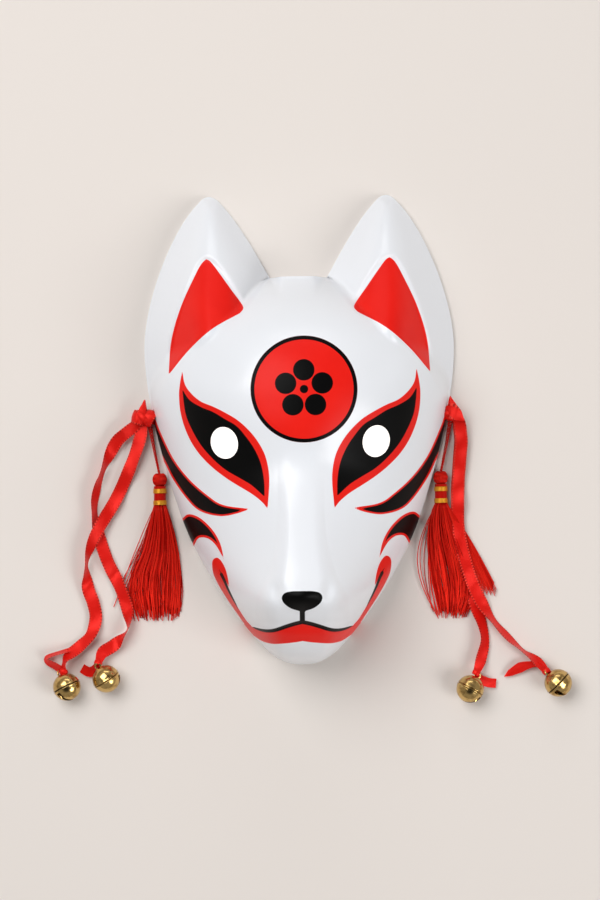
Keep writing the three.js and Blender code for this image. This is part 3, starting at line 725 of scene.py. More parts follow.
def satin_material():
    """Single-face polyester satin ribbon: a fine weft rib, a glossy face and a stitched selvage."""
    material, tree, shader = new_material("red satin ribbon", {
        "Metallic": 0.22,
        "Roughness": 0.33,
        "Specular IOR Level": 0.4,
        "Specular Tint": srgb("FFB0A4"),
    })
    weave = add_node(tree, "ShaderNodeSeparateXYZ", links={"Vector": attribute(tree, "weave", "Vector")})
    across, length = weave.outputs["X"], weave.outputs["Y"]
    edge = smooth_step(tree, calculate(tree, "ABSOLUTE", across), *SELVAGE)
    rib = ripple(tree, length, RIB_PITCH)
    stitch = smooth_step(tree, ripple(tree, length, STITCH_PITCH), -0.5, 0.2)
    face = mix_colour(tree, smooth_step(tree, rib, -1.0, 1.0), srgb("D8130D"), srgb("EC2018"))
    selvage = mix_colour(tree, stitch, srgb("A4110C"), srgb("F23E32"))
    tree.links.new(mix_colour(tree, edge, face, selvage), shader.inputs["Base Color"])
    stitches = calculate(tree, "MULTIPLY", calculate(tree, "MULTIPLY", edge, stitch), STITCH_RELIEF)
    set_relief(tree, shader, calculate(tree, "ADD", calculate(tree, "MULTIPLY", rib, RIB_RELIEF), stitches))
    return material


def thread_material():
    """Silky viscose thread, dyed red and slightly twisted."""
    material, tree, shader = new_material("red tassel thread", {
        "Roughness": 0.34,
        "Specular IOR Level": 0.3,
        "Specular Tint": srgb("FF7464"),
    })
    # The tone runs from dark to bright red: a dye tone at random on the skirt, and painted shade on its lower
    # threads, in the bead's grooves and on the cord.
    dye_and_painted_shade = mix_colour(tree, attribute(tree, "tone"), srgb("A80604"), srgb("FF3222"))
    tree.links.new(dye_and_painted_shade, shader.inputs["Base Color"])
    return material


def gold_thread_material():
    """Metallic gold thread, wound tight in flat turns."""
    values = {"Base Color": srgb("E0A02A"), "Metallic": 0.7, "Roughness": 0.38}
    return new_material("gold thread", values)[0]


BRASS_ROUGHNESS = (0.14, 0.26)
SEAM_ROUGHENS = 3


def brass_material():
    """Pressed brass, polished, with darker spots at random and painted shade in the groove of its seam."""
    material, tree, shader = new_material("polished brass", {"Metallic": 1.0})
    tone = noise(tree, 0.28, 4.0)
    metal = mix_colour(tree, smooth_step(tree, tone, 0.45, 0.72), srgb("D2B070"), srgb("9C7A42"))
    seam_shade = attribute(tree, "seam_shade")
    # Dark brown in the groove round the equator stands for shade there: painted shade in the seam.
    tree.links.new(mix_colour(tree, seam_shade, metal, srgb("1C1208")), shader.inputs["Base Color"])
    roughness_share = calculate(tree, "ADD", tone, calculate(tree, "MULTIPLY", seam_shade, SEAM_ROUGHENS))
    tree.links.new(map_range(tree, roughness_share, *BRASS_ROUGHNESS, clamp=False), shader.inputs["Roughness"])
    return material


def floor_material():
    """Plain matt paper, warm off-white."""
    values = {"Base Color": srgb("E1DAD4"), "Roughness": 0.9, "Specular IOR Level": 0.1}
    return new_material("pale paper", values)[0]


# Shell
FRONT_RAYS = 620
FRONT_RINGS = 122
BACK_RINGS = 34
RING_CENTRE = np.array([0.0, 20.0])
EYE_WIDTH = 14.6
EYE_HEIGHT = 17.2
EYE_SPACING = 81.6
EYE_Y = -6.7
EYE_TILT = 0.28
RIBBON_HOLE = 4.4
RIBBON_HOLE_Y = 10.0
RIBBON_HOLE_Z = 7.5
OUTLINE_STEPS = 60
RING_CROWDING = 1.35
SHELL_SHARP_ANGLE = math.radians(50)
EYE_SIDES = 72
EYE_CUT_Z = (-5.0, 120.0)
RIBBON_HOLE_SIDES = 32
RIBBON_HOLE_REACH = 4 * WALL
WALL_SEARCH = (12, 0.05)


def evenly_spaced(line, count):
    """The same closed line with its points at even steps."""
    ring = np.vstack([line, line[:1]])
    run = np.concatenate([[0], np.cumsum(np.hypot(*np.diff(ring, axis=0).T))])
    at = np.linspace(0, run[-1], count, endpoint=False)
    return np.stack([np.interp(at, run, ring[:, 0]), np.interp(at, run, ring[:, 1])], axis=1)


def ringed_face(edge, rings, height):
    """Points in rings that shrink from the edge to a middle point, with their heights."""
    share = 1 - (np.arange(rings) / rings) ** RING_CROWDING
    plan = RING_CENTRE + share[:, None, None] * (edge[None] - RING_CENTRE)
    flat = np.vstack([plan.reshape(-1, 2), RING_CENTRE])
    z = height(flat[:, 0], flat[:, 1])
    z[: len(edge)] = 0.0
    return np.column_stack([flat, z])


def ringed_faces(start, rays, rings, faces_up):
    faces = []
    for ring in range(rings):
        for i in range(rays):
            a = start + ring * rays + i
            b = start + ring * rays + (i + 1) % rays
            if ring == rings - 1:
                face = (b, a, start + rings * rays)
            else:
                face = (b, a, a + rays, b + rays)
            faces.append(face if faces_up else face[::-1])
    return faces


def make_shell(material):
    fine = chain([TOP_EDGE, EAR_INNER, EAR_TIP, EAR_OUTER, TEMPLE, JAW, CHIN], OUTLINE_STEPS)
    keep = np.concatenate([[True], np.hypot(*np.diff(fine, axis=0).T) > TINY])
    fine = fine[keep]
    outline = np.vstack([fine, fine[-2:0:-1] * [-1, 1]]) * STRETCH[:2]
    outer = evenly_spaced(outline, FRONT_RAYS)
    way = np.roll(outer, -1, axis=0) - np.roll(outer, 1, axis=0)
    side = np.stack([way[:, 1], -way[:, 0]], axis=1) / np.hypot(way[:, 0], way[:, 1])[:, None]
    inner = outer + side * WALL
    front = ringed_face(outer, FRONT_RINGS, visual_height)
    back = ringed_face(inner, BACK_RINGS, back_height)
    start = len(front)
    faces = ringed_faces(0, FRONT_RAYS, FRONT_RINGS, True)
    faces += ringed_faces(start, FRONT_RAYS, BACK_RINGS, False)
    for i in range(FRONT_RAYS):
        after = (i + 1) % FRONT_RAYS
        faces.append((i, after, start + after, start + i))
    shell = new_piece("shell", np.vstack([front, back]), faces, material)
    for side in (-1, 1):
        cut_eye(shell, side * EYE_SPACING / 2, EYE_Y, -side * EYE_TILT)
        cut_ribbon_hole(shell, side)
    apply_modifiers(shell)
    for name, values in paint_values(places_of(shell)).items():
        set_values(shell, name, values)
    shell.data.set_sharp_from_angle(angle=SHELL_SHARP_ANGLE)
    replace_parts(shell, "mask_shell")
    return shell


def cylinder(points_a, points_b):
    """A closed solid between two like rings of points."""
    count = len(points_a)
    faces = [tuple(range(count))[::-1], tuple(range(count, 2 * count))]
    faces += [(i, (i + 1) % count, count + (i + 1) % count, count + i) for i in range(count)]
    mesh = bpy.data.meshes.new("cutter")
    mesh.from_pydata((np.vstack([points_a, points_b]) * MM).tolist(), [], faces)
    return new_object("cutter", mesh)


def subtract(piece, cutter):
    cut = piece.modifiers.new("cut", "BOOLEAN")
    cut.operation = "DIFFERENCE"
    cut.solver = "MANIFOLD"
    cut.object = cutter


def cut_eye(shell, x, y, tilt):
    turn = even_turns(EYE_SIDES)
    across, up = np.cos(turn) * EYE_WIDTH / 2, np.sin(turn) * EYE_HEIGHT / 2
    oval_x = x + across * math.cos(tilt) - up * math.sin(tilt)
    oval_y = y + across * math.sin(tilt) + up * math.cos(tilt)
    low, high = [np.column_stack([oval_x, oval_y, np.full(EYE_SIDES, z)]) for z in EYE_CUT_Z]
    subtract(shell, cylinder(low, high))


def wall_x(y, z):
    """Outer face of the side wall at a height, found by stepping in from the silhouette."""
    steps = half_width(y / STRETCH[1]) * STRETCH[0] - np.arange(0, *WALL_SEARCH)
    high_enough = front_height(steps, np.full(len(steps), y)) >= z
    return steps[np.argmax(high_enough)]


def cut_ribbon_hole(shell, side):
    turn = even_turns(RIBBON_HOLE_SIDES) * side
    y = RIBBON_HOLE_Y + np.cos(turn) * RIBBON_HOLE / 2
    z = RIBBON_HOLE_Z + np.sin(turn) * RIBBON_HOLE / 2
    middle = side * wall_x(RIBBON_HOLE_Y, RIBBON_HOLE_Z)
    ends = (middle - side * RIBBON_HOLE_REACH, middle + side * RIBBON_HOLE_REACH)
    near, far = [np.column_stack([np.full(RIBBON_HOLE_SIDES, x), y, z]) for x in ends]
    subtract(shell, cylinder(near, far))


def apply_modifiers(piece):
    """Keeps what the modifiers make as the piece's own mesh, and removes the cutters."""
    cutters = [m.object for m in piece.modifiers if m.type == "BOOLEAN"]
    evaluated = piece.evaluated_get(bpy.context.evaluated_depsgraph_get())
    mesh = bpy.data.meshes.new_from_object(evaluated)
    piece.modifiers.clear()
    piece.data = mesh
    for cutter in cutters:
        bpy.data.objects.remove(cutter)


# Ribbons
RIBBON_WIDTH = 7.0
RIBBON_THICKNESS = 0.4
BAND_ACROSS = 9
BAND_STEP = 0.8
BAND_EDGE = 0.6
CUP_LEVEL = 0.4
BAND_SHARP_ANGLE = math.radians(55)

# A tail's sway: how near its ends it starts, its turn in degrees and its lift, each with its own run
SWAY_ENDS = (0, 14)
SWAY_TURN = 11
SWAY_TURN_RUN = 27
SWAY_LIFT = 0.45
SWAY_LIFT_RUN = 19


def run_along(points):
    return np.concatenate([[0], np.cumsum(np.linalg.norm(np.diff(points, axis=0), axis=1))])


def resample(points, step):
    """The same line with its points at even steps, all columns alike."""
    run = run_along(points[:, :3])
    at = np.linspace(0, run[-1], max(2, int(round(run[-1] / step)) + 1))
    return np.stack([np.interp(at, run, points[:, k]) for k in range(points.shape[1])], axis=1)


def band_frame(line, twist):
    """Width and face directions along a line, turned out of the level by a twist in degrees."""
    tangent = unit(np.gradient(line, axis=0))
    level = unit(np.cross(tangent, [0, 0, 1.0]))
    normal = np.cross(level, tangent)
    angle = np.radians(twist)[:, None]
    width_way = np.cos(angle) * level + np.sin(angle) * normal
    return width_way, np.cross(width_way, tangent)


def band_mesh(line, width_way, face_way, widths, cup):
    """Points and faces of a flat band with a slight hollow across, and its place in the weave."""
    u = np.linspace(-1, 1, BAND_ACROSS)
    half = RIBBON_THICKNESS / 2
    loop_u = np.concatenate([u, u[::-1]])
    loop_n = np.concatenate([np.full(BAND_ACROSS, half), np.full(BAND_ACROSS, -half)])
    loop_n[[0, BAND_ACROSS - 1, BAND_ACROSS, -1]] *= BAND_EDGE
    count = len(loop_u)
    across = widths[:, None] / 2 * loop_u
    lift = cup * (loop_u**2 - CUP_LEVEL) + loop_n
    points = line[:, None] + across[..., None] * width_way[:, None]
    points = points + lift[None, :, None] * face_way[:, None]
    run = run_along(line)
    weave = np.stack([across, np.repeat(run[:, None], count, axis=1), np.zeros_like(across)], axis=2)
    rings = len(line)
    faces = [tuple(range(count))[::-1], tuple(range((rings - 1) * count, rings * count))]
    for ring in range(rings - 1):
        for i in range(count):
            a, b = ring * count + i, ring * count + (i + 1) % count
            faces.append((a, b, b + count, a + count))
    return points.reshape(-1, 3), faces, weave.reshape(-1, 3)


def band(name, route, material, width=RIBBON_WIDTH, cup=0.25, shape=((0, 1), (1, 1)), sway=0.0):
    """A ribbon along (x, y, z, twist) points, as wide as its shape says at shares of its run. Its middle
    line comes back too, for the cord's route."""
    smooth = resample(through(route), BAND_STEP)
    line, twist = smooth[:, :3], smooth[:, 3]
    share = np.linspace(0, 1, len(line))
    widths = width * np.interp(share, *np.array(shape).T)
    run = run_along(line)
    swing = sway * rise(*SWAY_ENDS, run) * rise(*SWAY_ENDS, run[-1] - run)
    swayed = twist + SWAY_TURN * swing * np.sin(run * 2 * math.pi / SWAY_TURN_RUN)
    edge_rise = (np.abs(np.sin(np.radians(swayed))) - np.abs(np.sin(np.radians(twist)))) * width / 2
    lift = SWAY_LIFT * swing * (1 - np.cos(run * 2 * math.pi / SWAY_LIFT_RUN))
    line[:, 2] += np.maximum(edge_rise, 0) + lift
    width_way, face_way = band_frame(line, swayed)
    points, faces, weave = band_mesh(line, width_way, face_way, widths, cup)
    return band_piece(name, points, faces, weave, material), line


def band_piece(name, points, faces, weave, material):
    piece = new_piece(name, points, faces, material)
    set_values(piece, "weave", weave)
    piece.data.set_sharp_from_angle(angle=BAND_SHARP_ANGLE)
    return piece


TABLE_GAP = 0.4


def laid(route):
    """A tail's points (x, y, twist, extra height), raised so that the ribbon's edge clears the table."""
    points = []
    for x, y, twist, extra in route:
        edge = abs(math.sin(math.radians(twist))) * RIBBON_WIDTH / 2
        points.append((x, y, TABLE_GAP + RIBBON_THICKNESS / 2 + edge + extra, twist))
    return points


# Routes of the ribbon tails, as (x, y, twist in degrees, extra height), over the same places as the part's
LEFT_OUTER_ROUTE = [
    (-88.6, 5.6, 12, 5.0), (-91.4, 2.6, 16, 4.4), (-95.6, -0.6, 18, 3.5), (-101.3, -6, 20, 2.5),
    (-107.6, -18.7, 58, 0.6), (-112.4, -32.9, 66, 0), (-113.5, -44.4, 58, 0), (-110.7, -58.8, 22, 0),
    (-106.2, -72, 8, 0.6), (-100.3, -84.2, -12, 0.4), (-96.3, -96.2, -24, 0), (-95.2, -104.7, -66, 0),
    (-97.2, -110.6, -72, 0.2), (-103.4, -116.8, -16, 1.2), (-109.6, -120.8, -8, 3.0),
    (-112.2, -126.4, -4, 7.2),
]
LEFT_INNER_ROUTE = [
    (-86.6, 5.0, -8, 4.6), (-87.4, -1.6, -14, 3.5), (-90.4, -11.4, -12, 2.6), (-95.8, -24.7, -6, 1),
    (-102, -37.7, 4, 1.2), (-110.6, -51.8, 12, 3.4), (-116.1, -63.6, 60, 1.6), (-118.3, -73.2, 70, 0),
    (-117.6, -85.1, 22, 0.4), (-114.8, -93.4, 4, 1), (-113.5, -102.1, -10, 0.5), (-116.1, -111, -26, 0),
    (-122.6, -117.6, -24, 0.8), (-128.2, -122.2, -48, 2.0), (-130.8, -126.4, -70, 3.2),
    (-131.2, -131.2, -30, 4.6),
]
RIGHT_INNER_ROUTE = [
    (85.4, 6.0, 4, 3.6), (87.0, 2.6, 4, 3.4), (87.6, -3, 6, 2.4), (87.9, -8, 8, 2.0), (87.2, -17, 4, 0.8),
    (86.2, -29, -4, 0.4), (85.8, -40.6, -2, 0.2), (85.9, -54.9, 3, 0), (88.4, -69.3, 6, 0.2),
    (92, -84, 4, 0.2), (95.2, -97, 10, 0), (98.9, -108.8, 34, 0), (100, -117.1, 56, 0),
    (98.0, -126.2, 30, 1.8), (95.0, -134.4, 8, 5.2),
]
RIGHT_OUTER_ROUTE = [
    (85.6, 6.6, 2, 4.8), (87.4, 3.2, 2, 5.2), (88.1, -3, 4, 4.2), (88.4, -8, 6, 3.5), (87.6, -17, 6, 2.6),
    (86.6, -29, 2, 2.0), (86.2, -40.6, -2, 1.9), (86.3, -54.9, 2, 1.9), (89, -69.3, 6, 1.9),
    (93.2, -84, 8, 1.8), (99, -97, 24, 1.2), (107.5, -109.4, 64, 0), (119.3, -121.3, 68, 0),
    (128.4, -128.4, 46, 1.4), (133.4, -134.0, 14, 5.4),
]

# Routes of the loose ends past the bells, as (x, y, z, twist)
LEFT_OUTER_END = [
    (-112.4, -127.4, 7.0, 0), (-114.8, -130.6, 3.6, 8), (-117.6, -131.6, 2.4, 16),
    (-121.4, -129.4, 2.0, 22),
]
LEFT_INNER_END = [
    (-131.2, -130.8, 5.6, 30), (-135.8, -128.0, 4.8, 50), (-140.0, -125.6, 4.2, 56),
    (-140.4, -123.2, 4.0, 70), (-134.2, -121.0, 3.8, 74), (-127.8, -119.4, 3.4, 66),
]
RIGHT_INNER_END = [
    (95.2, -135.6, 5.4, 0), (98.2, -138.4, 3.6, -6), (102, -140.0, 2.4, -10), (106, -140.4, 1.9, -12),
]
RIGHT_OUTER_END = [
    (133.0, -133.2, 5.4, 20), (128.6, -130.2, 4.0, 26), (121.6, -131.0, 3.0, 14), (115.6, -133.8, 2.2, 8),
    (110.6, -136.8, 1.6, 4),
]

# Bells
BELL_DIAMETER = 15.8
BELL_WALL = 0.9
BELL_SLIT = 1.7
BELL_SLIT_HOLE = 3.0
BELL_SEAM = 0.3
SEAM_HALF_WIDTH = 0.42
BELL_SIDES = 72
BELL_INNER_SIDES = 40
BELL_SHARP_ANGLE = math.radians(45)
LIP_WIDTH = 6
LIP_GROOVE_WIDTH = 2.2
LIP_GROOVE_DEPTH = 2.2
LOOP_HEIGHT = 0.4
LOOP_RADIUS = 1.6
LOOP_WIRE = 0.5
LOOP_STEPS = 28
WIRE_SIDES = 10
SLIT_ANGLE = math.radians(62)
SLIT_HOLE_SIDES = 24
SLIT_HOLE_PLACE = 0.96
SLIT_TOP = 0.3
SLIT_HOLE_TOP = 0.2

# Angles from the foot of a bell to its crown, in degrees, with finer steps at the seam
BELL_ANGLES = np.concatenate([np.arange(0, 80, 4), np.arange(80, 100.5, 0.8), np.arange(104, 181, 4)])


def lathe(profile, sides):
    """Points and faces of a closed solid turned about Z from (radius, height) points that start and end
    on it."""
    turn = even_turns(sides)
    rings = np.array(profile[1:-1], float)
    points = np.stack([rings[:, :1] * np.cos(turn), rings[:, :1] * np.sin(turn),
                       np.repeat(rings[:, 1:], sides, axis=1)], axis=2).reshape(-1, 3)
    points = np.vstack([points, [0, 0, profile[0][1]], [0, 0, profile[-1][1]]])
    bottom, top = len(points) - 2, len(points) - 1
    last_ring = (len(rings) - 1) * sides
    faces = []
    for i in range(sides):
        after = (i + 1) % sides
        faces.append((bottom, after, i))
        faces.append((top, last_ring + i, last_ring + after))
        for ring in range(len(rings) - 1):
            a, b = ring * sides + i, ring * sides + after
            faces.append((a, b, b + sides, a + sides))
    return points, faces


def bell_profile(radius, seam):
    """Half a ball's outline with a rolled seam round its equator."""
    angles = np.radians(BELL_ANGLES)
    off_seam = np.degrees(angles) - 90
    groove = LIP_GROOVE_DEPTH * np.exp(-((off_seam / LIP_GROOVE_WIDTH) ** 2))
    out = radius + seam * (np.exp(-((off_seam / LIP_WIDTH) ** 2)) - groove)
    return [(math.sin(a) * far, -math.cos(a) * far) for a, far in zip(angles, out)]


def make_bell(name, centre, crown_way, slit_way, seam_shade, material):
    """A hollow ball pressed from two cups, with a slit between two round holes at the bottom and a loop on
    its crown."""
    radius = BELL_DIAMETER / 2
    outside, faces = lathe(bell_profile(radius - BELL_SEAM, BELL_SEAM), BELL_SIDES)
    inside, inner_faces = lathe(bell_profile(radius - BELL_SEAM - BELL_WALL, 0), BELL_INNER_SIDES)
    all_faces = faces + [tuple(i + len(outside) for i in f[::-1]) for f in inner_faces]
    bell = new_piece(name, np.vstack([outside, inside]), all_faces, material)
    for cutter in slit_cutters(radius):
        subtract(bell, cutter)
    apply_modifiers(bell)
    bell.data.set_sharp_from_angle(angle=BELL_SHARP_ANGLE)
    add_to_mesh(bell, *torus_points(radius + LOOP_HEIGHT, LOOP_RADIUS, LOOP_WIRE))
    mark_seam(bell, seam_shade)
    turn_to(bell, crown_way, slit_way, centre)
    return bell


def mark_seam(bell, seam_shade):
    """Painted shade in the groove round the ball's equator: its share at each point, from 0 to 1."""
    over_seam = places_of(bell)[:, 2]
    set_values(bell, "seam_shade", seam_shade * np.exp(-((over_seam / SEAM_HALF_WIDTH) ** 2)))


def slit_cutters(radius):
    """The cutters for the slit over the bottom of the ball, along X, and the holes at its ends."""
    reach = radius * math.sin(SLIT_ANGLE)
    below = [0, 0, -2 * radius]
    corners = np.array([(-1, -1, 0), (1, -1, 0), (1, 1, 0), (-1, 1, 0)])
    flat = corners * [reach, BELL_SLIT / 2, 0]
    cutters = [cylinder(flat + below, flat + [0, 0, -SLIT_TOP * radius])]
    turn = even_turns(SLIT_HOLE_SIDES)
    ring = np.column_stack([np.cos(turn), np.sin(turn), np.zeros(SLIT_HOLE_SIDES)]) * BELL_SLIT_HOLE / 2
    for end in (-1, 1):
        hole = ring + [end * reach * SLIT_HOLE_PLACE, 0, 0]
        cutters.append(cylinder(hole + below, hole + [0, 0, -SLIT_HOLE_TOP * radius]))
    return cutters


def torus_points(height, major, minor):
    """A small wire ring at a height on Z, upright along X."""
    a, b = np.meshgrid(even_turns(LOOP_STEPS), even_turns(WIRE_SIDES), indexing="ij")
    out = major + minor * np.cos(b)
    points = np.stack([out * np.cos(a), minor * np.sin(b), out * np.sin(a) + height], axis=2)
    faces = []
    for i in range(LOOP_STEPS):
        here, next_ring = i * WIRE_SIDES, (i + 1) % LOOP_STEPS * WIRE_SIDES
        for j in range(WIRE_SIDES):
            after = (j + 1) % WIRE_SIDES
            faces.append((here + j, here + after, next_ring + after, next_ring + j))
    return points.reshape(-1, 3), faces


def add_to_mesh(piece, points, faces):
    """Joins more points and faces in millimetres to a piece that still stands at the origin."""
    extra = bpy.data.meshes.new("extra")
    extra.from_pydata((np.asarray(points) * MM).tolist(), [], faces)
    whole = bmesh.new()
    whole.from_mesh(piece.data)
    whole.from_mesh(extra)
    bmesh.ops.recalc_face_normals(whole, faces=whole.faces[-len(faces):])
    for face in whole.faces[-len(faces):]:
        face.smooth = True
    whole.to_mesh(piece.data)
    whole.free()


def turn_to(piece, up_way, along_way, centre):
    """Turns a piece's +Z and +X towards two directions and moves its origin to a centre, in its mesh."""
    up = Vector(up_way).normalized()
    along_way = Vector(along_way)
    first = (along_way - up * along_way.dot(up)).normalized()
    turn = Matrix((first, up.cross(first), up)).transposed().to_4x4()
    piece.data.transform(Matrix.Translation(Vector(centre) * MM) @ turn)


# Tassels
THREADS = 250
THREAD_SIDES = 5
THREAD_POINTS = 16
THREAD_RADIUS = 0.26
BEAD_DIAMETER = 8.0
NECK_DIAMETER = 6.0
NECK_LENGTH = 10.4
BAND_WIDTH = 2.8
BAND_SPACING = 6.4
GAP = 0.3
TASSEL_LIFT = 4.1
BINDING_OVERLAP = 0.9
BINDING_EXTRA = 0.6
BINDING_OUT = 0.15
BINDING_PITCH = 0.42
GOLD_OUT = 0.5
GOLD_PITCH = 0.5
WINDING_FILL = 0.56
WINDING_TONE = 0.2
WINDING_STEPS = 28
WINDING_SIDES = 7
BEAD_RIBS = 30
BEAD_RINGS = 29
BEAD_GROOVE = 0.09
BEAD_RIB_STEPS = 6
BEAD_ROUNDNESS = 0.75
BEAD_TWIST = 0.08
BEAD_TONE = 0.75
BEAD_GROOVE_SHADE = 0.7
DIMPLE_DEPTH = 1.3
DIMPLE_RADIUS = 1.4
CORD_STEP = 0.35
CORD_TURN = 3.2
CORD_SHADE_TONE = 0.15
STRAND_RADIUS = 0.4
STRAND_SPACING = 0.38
STRAND_SIDES = 8
STRANDS_PART = 0.7
CORD_MIDDLE_OUT = 0.4
CORD_MIDDLE_Z = 3.0
CORD_PAST_HEAD = 1.6

# The skirt's threads: how they spread and wave, settle from the neck on the table, and their tone: a dye tone
# at random, painted shade on the threads that lie lower in the heap, and darker towards the neck
THREAD_LENGTH = (0.955, 0.045)
THREAD_LENGTH_LIMITS = (0.8, 1.03)
THREAD_DRIFT = 0.07
THREAD_DRIFT_POWER = 1.3
THREAD_PLACE_LIMITS = (-0.08, 1.08)
THREAD_WAVE = (0.1, 0.7)
THREAD_WAVE_TURNS = (3, 8)
THREAD_LIFT_WAVE = 0.2
THREAD_LIFT_TURNS = 6
STRAY_START = 2.2
STRAY_POWER = 0.9
SKIRT_OVERLAP = 1.0
NECK_FILL = 0.9
HEAP_FOOT = 0.4
HEAP_HEIGHT = 4.6
HEAP_FALL = 2.4
HEAP_SPREAD = 1.9
SETTLED_AT = 0.45
THREAD_TABLE_GAP = 0.12
UNDER_THREAD_SHADE = (0.5, 0.5)
TONE_BY_SHARE = (0.55, 0.75)

# Skirt's left and right edges at shares of its length, as millimetres from the tassel's middle line
LEFT_SKIRT = [
    (0, -3.1, 3.1), (0.08, -4.4, 4.8), (0.27, -6.8, 7.6), (0.46, -10.2, 9.4), (0.64, -15.4, 10),
    (0.82, -17, 10.4), (1, -14, 9),
]
RIGHT_SKIRT = [
    (0, -3.1, 3.1), (0.08, -5.4, 5.4), (0.2, -7.2, 8), (0.36, -7.8, 11.5), (0.54, -7, 15.5),
    (0.72, -5.8, 18), (0.88, -3.6, 17), (1, -1.5, 13),
]
SKIRT_LENGTH = 62.0


def tubes(centres, radii, sides):
    """One mesh of many round threads. centres is threads x points x 3 and radii is threads x points."""
    threads, count = centres.shape[:2]
    tangent = unit(np.gradient(centres, axis=1))
    side = unit(np.cross(tangent, [0, 0, 1.0]))
    up = np.cross(side, tangent)
    turn = even_turns(sides)
    ring = np.cos(turn)[:, None] * side[:, :, None] + np.sin(turn)[:, None] * up[:, :, None]
    points = centres[:, :, None] + radii[:, :, None, None] * ring
    faces = []
    for thread in range(threads):
        start = thread * count * sides
        faces.append(tuple(range(start, start + sides))[::-1])
        faces.append(tuple(range(start + (count - 1) * sides, start + count * sides)))
        for ring_at in range(count - 1):
            base = start + ring_at * sides
            for i in range(sides):
                after = (i + 1) % sides
                faces.append((base + i, base + after, base + after + sides, base + i + sides))
    return points.reshape(-1, 3), faces


def tassel_frame(top, lean):
    """Turns places (across, down, up) on a tassel into places on the table."""
    cos, sin = math.cos(lean), math.sin(lean)

    def place(across, down, up):
        return np.stack([top[0] + across * cos + down * sin, top[1] + across * sin - down * cos, up], axis=-1)

    return place


def make_skirt(name, top, lean, edges, strays, seed, material):
    """Loose threads that leave the bound neck and fan out over the table."""
    dice = np.random.default_rng(seed)
    place = tassel_frame(top, lean)
    share = np.linspace(0, 1, THREAD_POINTS)
    stations = np.array(edges)
    left = np.interp(share, stations[:, 0], stations[:, 1])
    right = np.interp(share, stations[:, 0], stations[:, 2])
    spot = dice.uniform(0, 1, THREADS)
    drift = dice.normal(0, THREAD_DRIFT, THREADS)
    deep = dice.uniform(0, 1, THREADS)
    length = SKIRT_LENGTH * dice.normal(*THREAD_LENGTH, THREADS).clip(*THREAD_LENGTH_LIMITS)
    phase = dice.uniform(0, 2 * math.pi, (THREADS, 2))
    wave = dice.uniform(*THREAD_WAVE, THREADS)
    turns = dice.uniform(*THREAD_WAVE_TURNS, (THREADS, 1))
    at = np.clip(spot[:, None] + drift[:, None] * share**THREAD_DRIFT_POWER, *THREAD_PLACE_LIMITS)
    across = left + (right - left) * at
    across = across + wave[:, None] * share * np.sin(phase[:, :1] + share * turns)
    for i, (reach, out, bow) in enumerate(strays):
        across[i] = np.sign(out) * STRAY_START + out * share**STRAY_POWER + bow * np.sin(math.pi * share)
        length[i] = reach
        deep[i] = 0.5
    down = BEAD_DIAMETER + GAP + NECK_LENGTH - SKIRT_OVERLAP + length[:, None] * share
    round_neck = np.sqrt(np.clip(1 - ((at - 0.5) * 2) ** 2, 0.05, 1)) * NECK_DIAMETER / 2
    start_up = TASSEL_LIFT + (deep[:, None] - 0.5) * 2 * round_neck * NECK_FILL
    round_heap = np.sqrt(np.clip(1 - ((at - 0.5) * HEAP_SPREAD) ** 2, 0.08, 1))
    heap = HEAP_FOOT + deep[:, None] * (HEAP_HEIGHT - HEAP_FALL * share) * round_heap
    settle = rise(0, SETTLED_AT, share)
    lift_wave = THREAD_LIFT_WAVE * np.sin(phase[:, 1:] + share * THREAD_LIFT_TURNS) * share
    up = start_up * (1 - settle) + heap * settle + lift_wave
    centres = place(across, down, np.maximum(up, THREAD_RADIUS + THREAD_TABLE_GAP))
    radii = np.full((THREADS, THREAD_POINTS), THREAD_RADIUS)
    points, faces = tubes(centres, radii, THREAD_SIDES)
    skirt = new_piece(name, points, faces, material)
    # Threads that lie lower in the heap are darker: painted shade. The tone also grows from the neck to the
    # ends.
    under_thread_shade = UNDER_THREAD_SHADE[0] + UNDER_THREAD_SHADE[1] * deep[:, None]
    by_share = TONE_BY_SHARE[0] + TONE_BY_SHARE[1] * share
    tone = dice.uniform(0, 1, (THREADS, 1)) * under_thread_shade * by_share
    set_values(skirt, "tone", np.repeat(tone.ravel(), THREAD_SIDES))
    return skirt


def make_wound(name, top, lean, start, length, radius, pitch, material):
    """Thread wound in close turns round the tassel's neck."""
    place = tassel_frame(top, lean)
    turns = max(2, int(round(length / pitch)))
    steps = turns * WINDING_STEPS
    angle = np.linspace(0, 2 * math.pi * turns, steps)
    down = start + np.linspace(pitch / 2, length - pitch / 2, steps)
    centres = place(radius * np.cos(angle), down, TASSEL_LIFT + radius * np.sin(angle))[None]
    points, faces = tubes(centres, np.full((1, steps), pitch * WINDING_FILL), WINDING_SIDES)
    winding = new_piece(name, points, faces, material)
    set_values(winding, "tone", np.full(len(points), WINDING_TONE))
    return winding


def make_bead(name, top, lean, material):
    """The head: threads folded over a round core, so that they run from pole to pole."""
    radius = BEAD_DIAMETER / 2
    profile = []
    for angle in np.linspace(0, math.pi, BEAD_RINGS):
        out = math.sin(angle) ** BEAD_ROUNDNESS * radius
        dimple = DIMPLE_DEPTH * math.exp(-((out / DIMPLE_RADIUS) ** 2)) if angle > math.pi / 2 else 0
        profile.append((out, -math.cos(angle) * radius - dimple))
    points, faces = lathe(profile, BEAD_RIBS * BEAD_RIB_STEPS)
    turn = np.arctan2(points[:, 1], points[:, 0])
    from_pole = np.minimum(np.hypot(points[:, 0], points[:, 1]) / radius * 2, 1)
    twisted = np.abs(np.sin((turn + points[:, 2] * BEAD_TWIST) * BEAD_RIBS / 2))
    points = points * (1 - BEAD_GROOVE * twisted * from_pole)[:, None]
    place = tassel_frame(top, lean)
    points = place(points[:, 0], radius - points[:, 2], TASSEL_LIFT + points[:, 1])
    bead = new_piece(name, points, faces, material)
    # Darker in the grooves between the ribs: painted shade.
    set_values(bead, "tone", BEAD_TONE - BEAD_GROOVE_SHADE * np.abs(np.sin(turn * BEAD_RIBS / 2)))
    return bead


